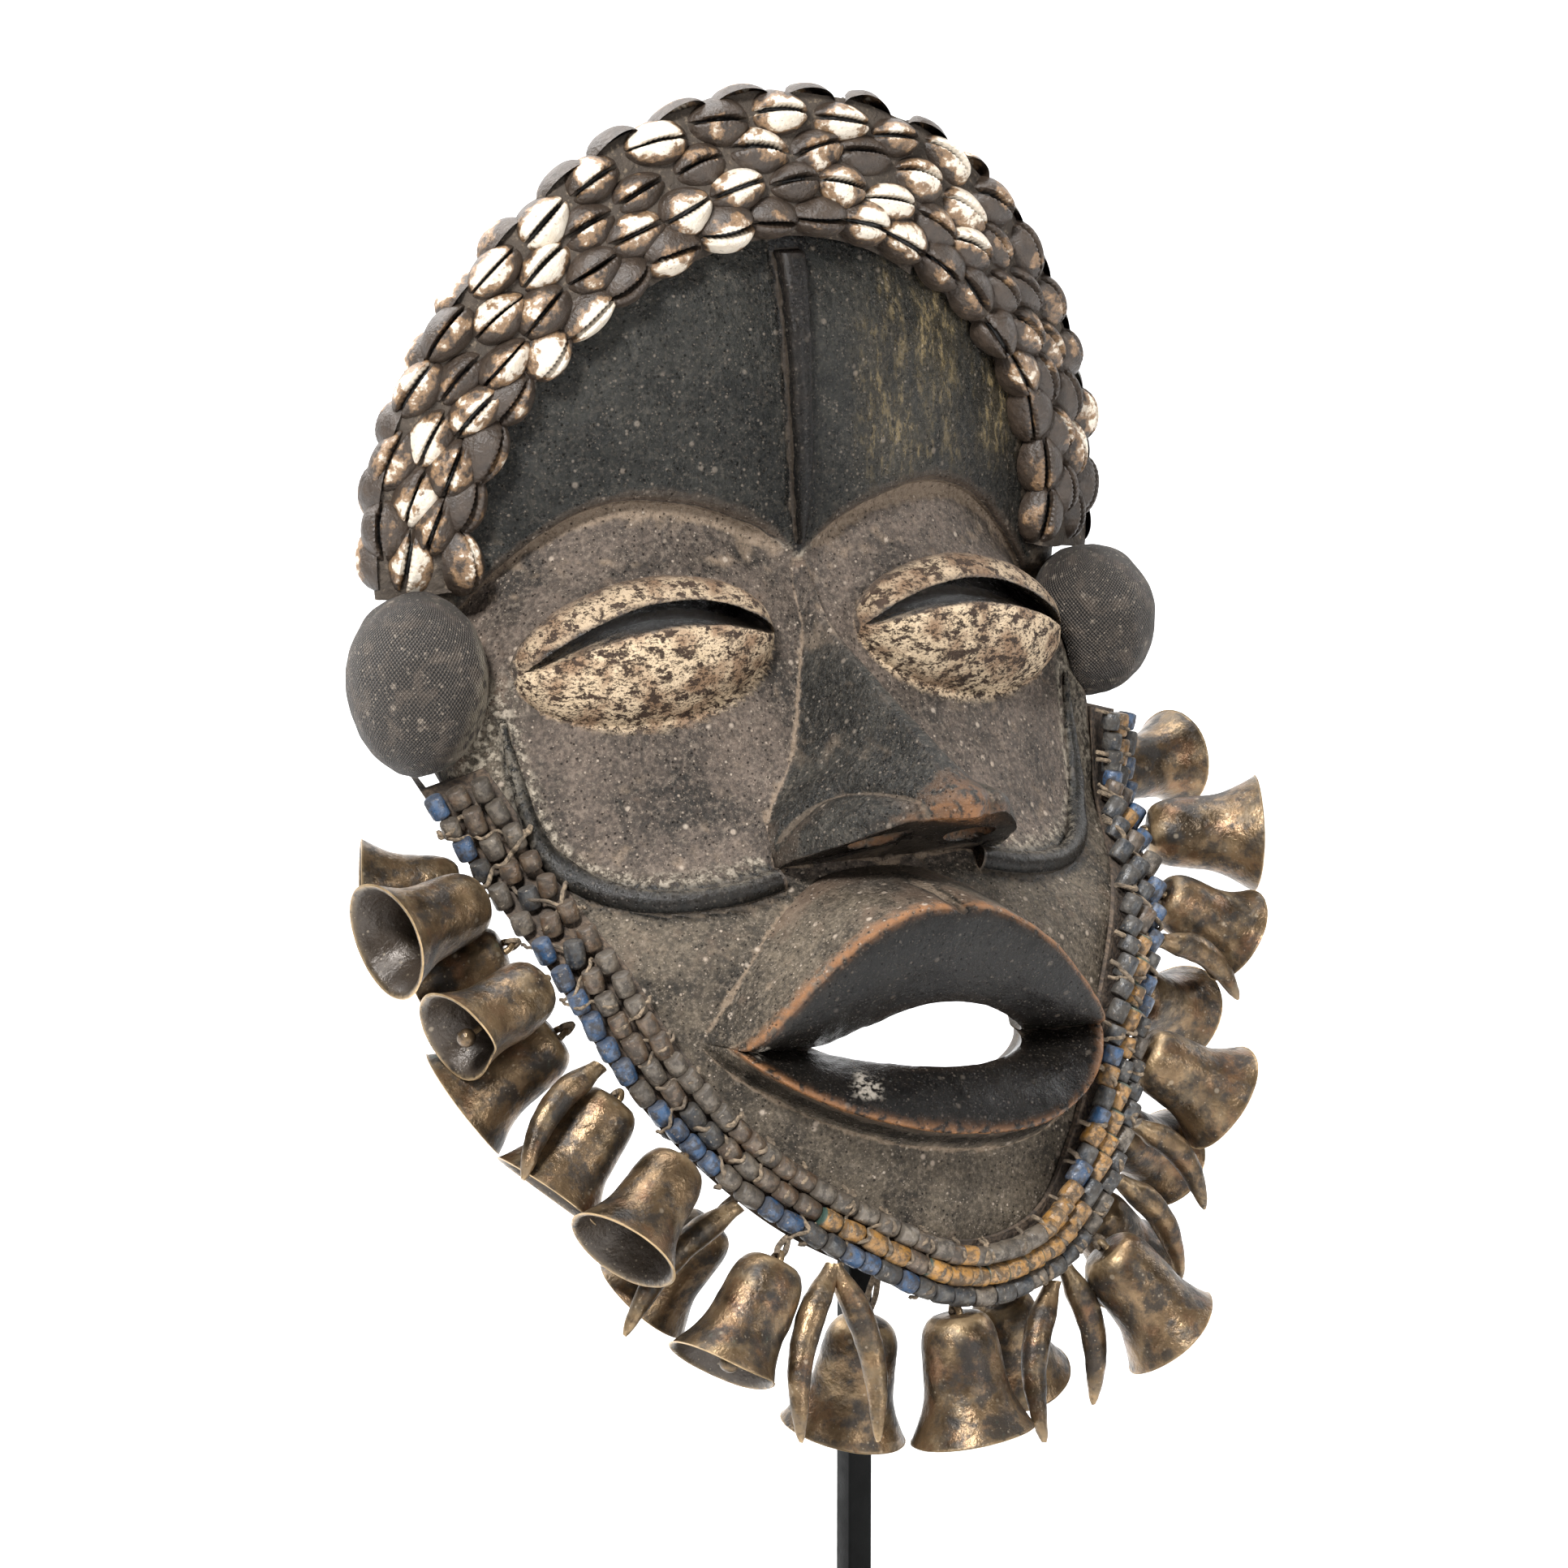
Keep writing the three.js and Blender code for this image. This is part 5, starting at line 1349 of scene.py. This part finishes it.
def make_bead(n):
    tint = n.node("CombineColor")
    for socket, name in zip(tint.inputs, ("red", "green", "blue")):
        n.put(socket, n.mark(name))
    glass = tint.outputs[0]
    # Dirt in patches, and painted shade at each bead's ends where it meets the next bead
    grime = n.most(n.patches(2.2, 0.42, 0.6, detail=8, rough=0.65), n.times(n.mark("edge"), 0.7))
    colour = n.coats(
        glass,
        (n.patches(3, 0.35, 0.7, detail=4), 0.5, n.blend(0.5, glass, (0.3, 0.26, 0.2))),
        (grime, 0.8, (0.03, 0.024, 0.018)),
        (n.patches(0.9, 0.62, 0.72), 0.5, (0.34, 0.28, 0.21)))
    height = n.cloud(1.1, detail=5)
    return {"Base Color": colour, "Roughness": n.line(grime, 0.35, 0.28), "Normal": n.bump(height, 0.3)}


bead_glass = material("bead glass", make_bead)


def make_brass(n):
    clouds = n.spread(n.cloud(11, detail=6, bend=0.4), 0.34, 0.66)
    soot = n.patches(6, 0.43, 0.6, 0.88, detail=9, rough=0.66)
    dark = n.most(soot, n.times(n.mark("inside"), 0.92))
    rubbed = n.most(
        n.times(use(n, wear, From=0.0, To=0.45, Break=0.45)["Edge"], 0.7),
        n.times(n.patches(10, 0.5, 0.7, detail=7, rough=0.6), n.line(n.mark("inside"), -0.25, 0.28)),
        n.times(n.mark("bright"), n.patches(2.4, 0.32, 0.5, detail=6)))
    colour = n.coats(
        n.blend(clouds, (0.034, 0.023, 0.013), (0.19, 0.125, 0.068)),
        (n.patches(9, 0.5, 0.68, detail=5), 0.5, (0.19, 0.095, 0.05)),
        (dark, 1, (0.008, 0.006, 0.0045)),
        (rubbed, 1, n.tone(4, (0.28, 0.18, 0.085), (0.6, 0.44, 0.25))),
        (n.patches(6, 0.68, 0.78, detail=8), 0.45, (0.05, 0.1, 0.08)),
        (use(n, wear, From=0.15, To=0.5, Break=0.4)["Hollow"], 0.4, (0.08, 0.06, 0.045)),
        (use(n, specks, Size=0.2, Fine=0.25)["Mask"], 0.35, (0.4, 0.33, 0.24)))
    metallic = n.most(n.line(dark, -0.5, 0.75, clamp=True), n.times(rubbed, 0.85))
    return {"Base Color": colour, "Roughness": n.line(soot, 0.2, 0.3), "Metallic": metallic,
            "Normal": n.bump(n.plus(n.cloud(2.5, detail=7), n.times(n.cloud(0.8), 0.35)), 0.35)}


brass_cast = material("cast brass", make_brass)


def make_steel(n):
    colour = n.blend(n.cloud(12), (0.0006, 0.0008, 0.0008), (0.0016, 0.002, 0.0019))
    colour = n.blend(n.patches(1.4, 0.68, 0.8, 0.14), colour, (0.05, 0.045, 0.04))
    return {"Base Color": colour, "Roughness": n.spread(n.cloud(6), 0.3, 0.7, 0.5, 0.62),
            "Normal": n.bump(n.cloud(0.8), 0.06)}


stand_paint = material("stand black paint", make_steel, Specular_IOR_Level=0.12)


post_half, post_top, arm_height, arm_reach = 3.2, 168, 146, 48
foot_half, foot_high = (65, 60), 8
x_way, y_way, z_way = np.eye(3)


def make_pieces():
    carve_head()
    finish_piece(hair_cap(), "hair_band", "cowrie_paste")
    for i, (side, (at, radii)) in enumerate(pads.items()):
        lump = pad_block(at, radii, 3 + i).build(f"cloth_pad_{side}", [ear_cloth])
        finish_piece(carve(lump, [grown_head()], "DIFFERENCE"), f"ear_pad_{side}", "ear_cloth")
    finish_piece(strap_and_lashing(), "jaw_strap", "strap_fibre")
    for string, name in enumerate(("beads_outer", "beads_middle", "beads_inner")):
        bead_string(string, name)
    for i, row in enumerate(bells):
        hang_bell(i + 1, *row)
    for i, row in enumerate(claws):
        hang_claw(i + 1, *row)
    post = Shape()
    box_bar(post, (0, 0, foot_high), (0, 0, post_top), x_way, y_way, post_half, post_half)
    box_bar(post, (0, 2, 130.5), (0, -28, 130.5), x_way, z_way, post_half, 2)
    for side in (-1, 1):
        box_bar(post, (0, 0, arm_height), (side * arm_reach, 8, arm_height + 20), y_way, z_way, 2, 3)
    finish_piece(post.build("square_post", [stand_paint]), "stand_post", "stand_steel")
    foot = Shape()
    box_bar(foot, (0, 0, 0), (0, 0, foot_high), x_way, y_way, *foot_half, 1.2)
    finish_piece(foot.build("flat_foot", [stand_paint]), "stand_foot", "stand_steel")


make_pieces()


# Pale sweep, soft light
def make_sweep():
    shape = Shape()
    line = [(y, 0) for y in np.linspace(-3000, 900, 12)]
    line += [(900 + 700 * math.sin(t), 700 - 700 * math.cos(t)) for t in np.linspace(0.1, math.pi / 2, 16)]
    line += [(1600, z) for z in np.linspace(900, 4000, 6)]
    rings = [[(x, y, z - 0.2) for x in np.linspace(-4000, 4000, 9)] for y, z in line]
    shape.add(np.array(rings), grid_faces(len(rings), 9))

    def paint(n):
        return {"Base Color": n.tone(900, (0.8, 0.8, 0.8), (0.84, 0.84, 0.84), detail=2), "Roughness": 0.9}
    thing = shape.build("floor_sweep", [material("pale floor", paint)])
    thing.matrix_world = Matrix.Rotation(-view_side, 4, "Z")


make_sweep()


def soft_light(name, place, aim, wide, watts):
    lamp = bpy.data.lights.new(name, "AREA")
    lamp.energy, lamp.size = watts, wide
    thing = bpy.data.objects.new(name, lamp)
    bpy.context.collection.objects.link(thing)
    thing.location = place
    thing.rotation_euler = (Vector(aim) - Vector(place)).to_track_quat("-Z", "Y").to_euler()


# Each lamp: where it stands, what it aims at, how wide it is and its watts, in metres
lamps = {
    "key": ((-0.85, -0.6, 1.2), (0, 0, 0.27), 0.26, 33),
    "front": ((0.35, -1.3, 0.55), (0, 0, 0.22), 0.3, 8),
    "right": ((1.1, 0.0, 0.7), (0, 0, 0.25), 0.4, 4),
    "back": ((-0.5, 0.9, 1.1), (0, 0, 0.28), 0.5, 14),
    "backdrop": ((0, 0.5, 1.9), (0, 1.5, 0.5), 1.2, 60)}
for name, lamp in lamps.items():
    soft_light(name, *lamp)
world = bpy.data.worlds.new("studio")
world.use_nodes = True
world.node_tree.nodes["Background"].inputs["Color"].default_value = (1, 1, 1, 1)
world.node_tree.nodes["Background"].inputs["Strength"].default_value = 0.16
bpy.context.scene.world = world
bpy.context.scene.view_settings.view_transform = "Standard"
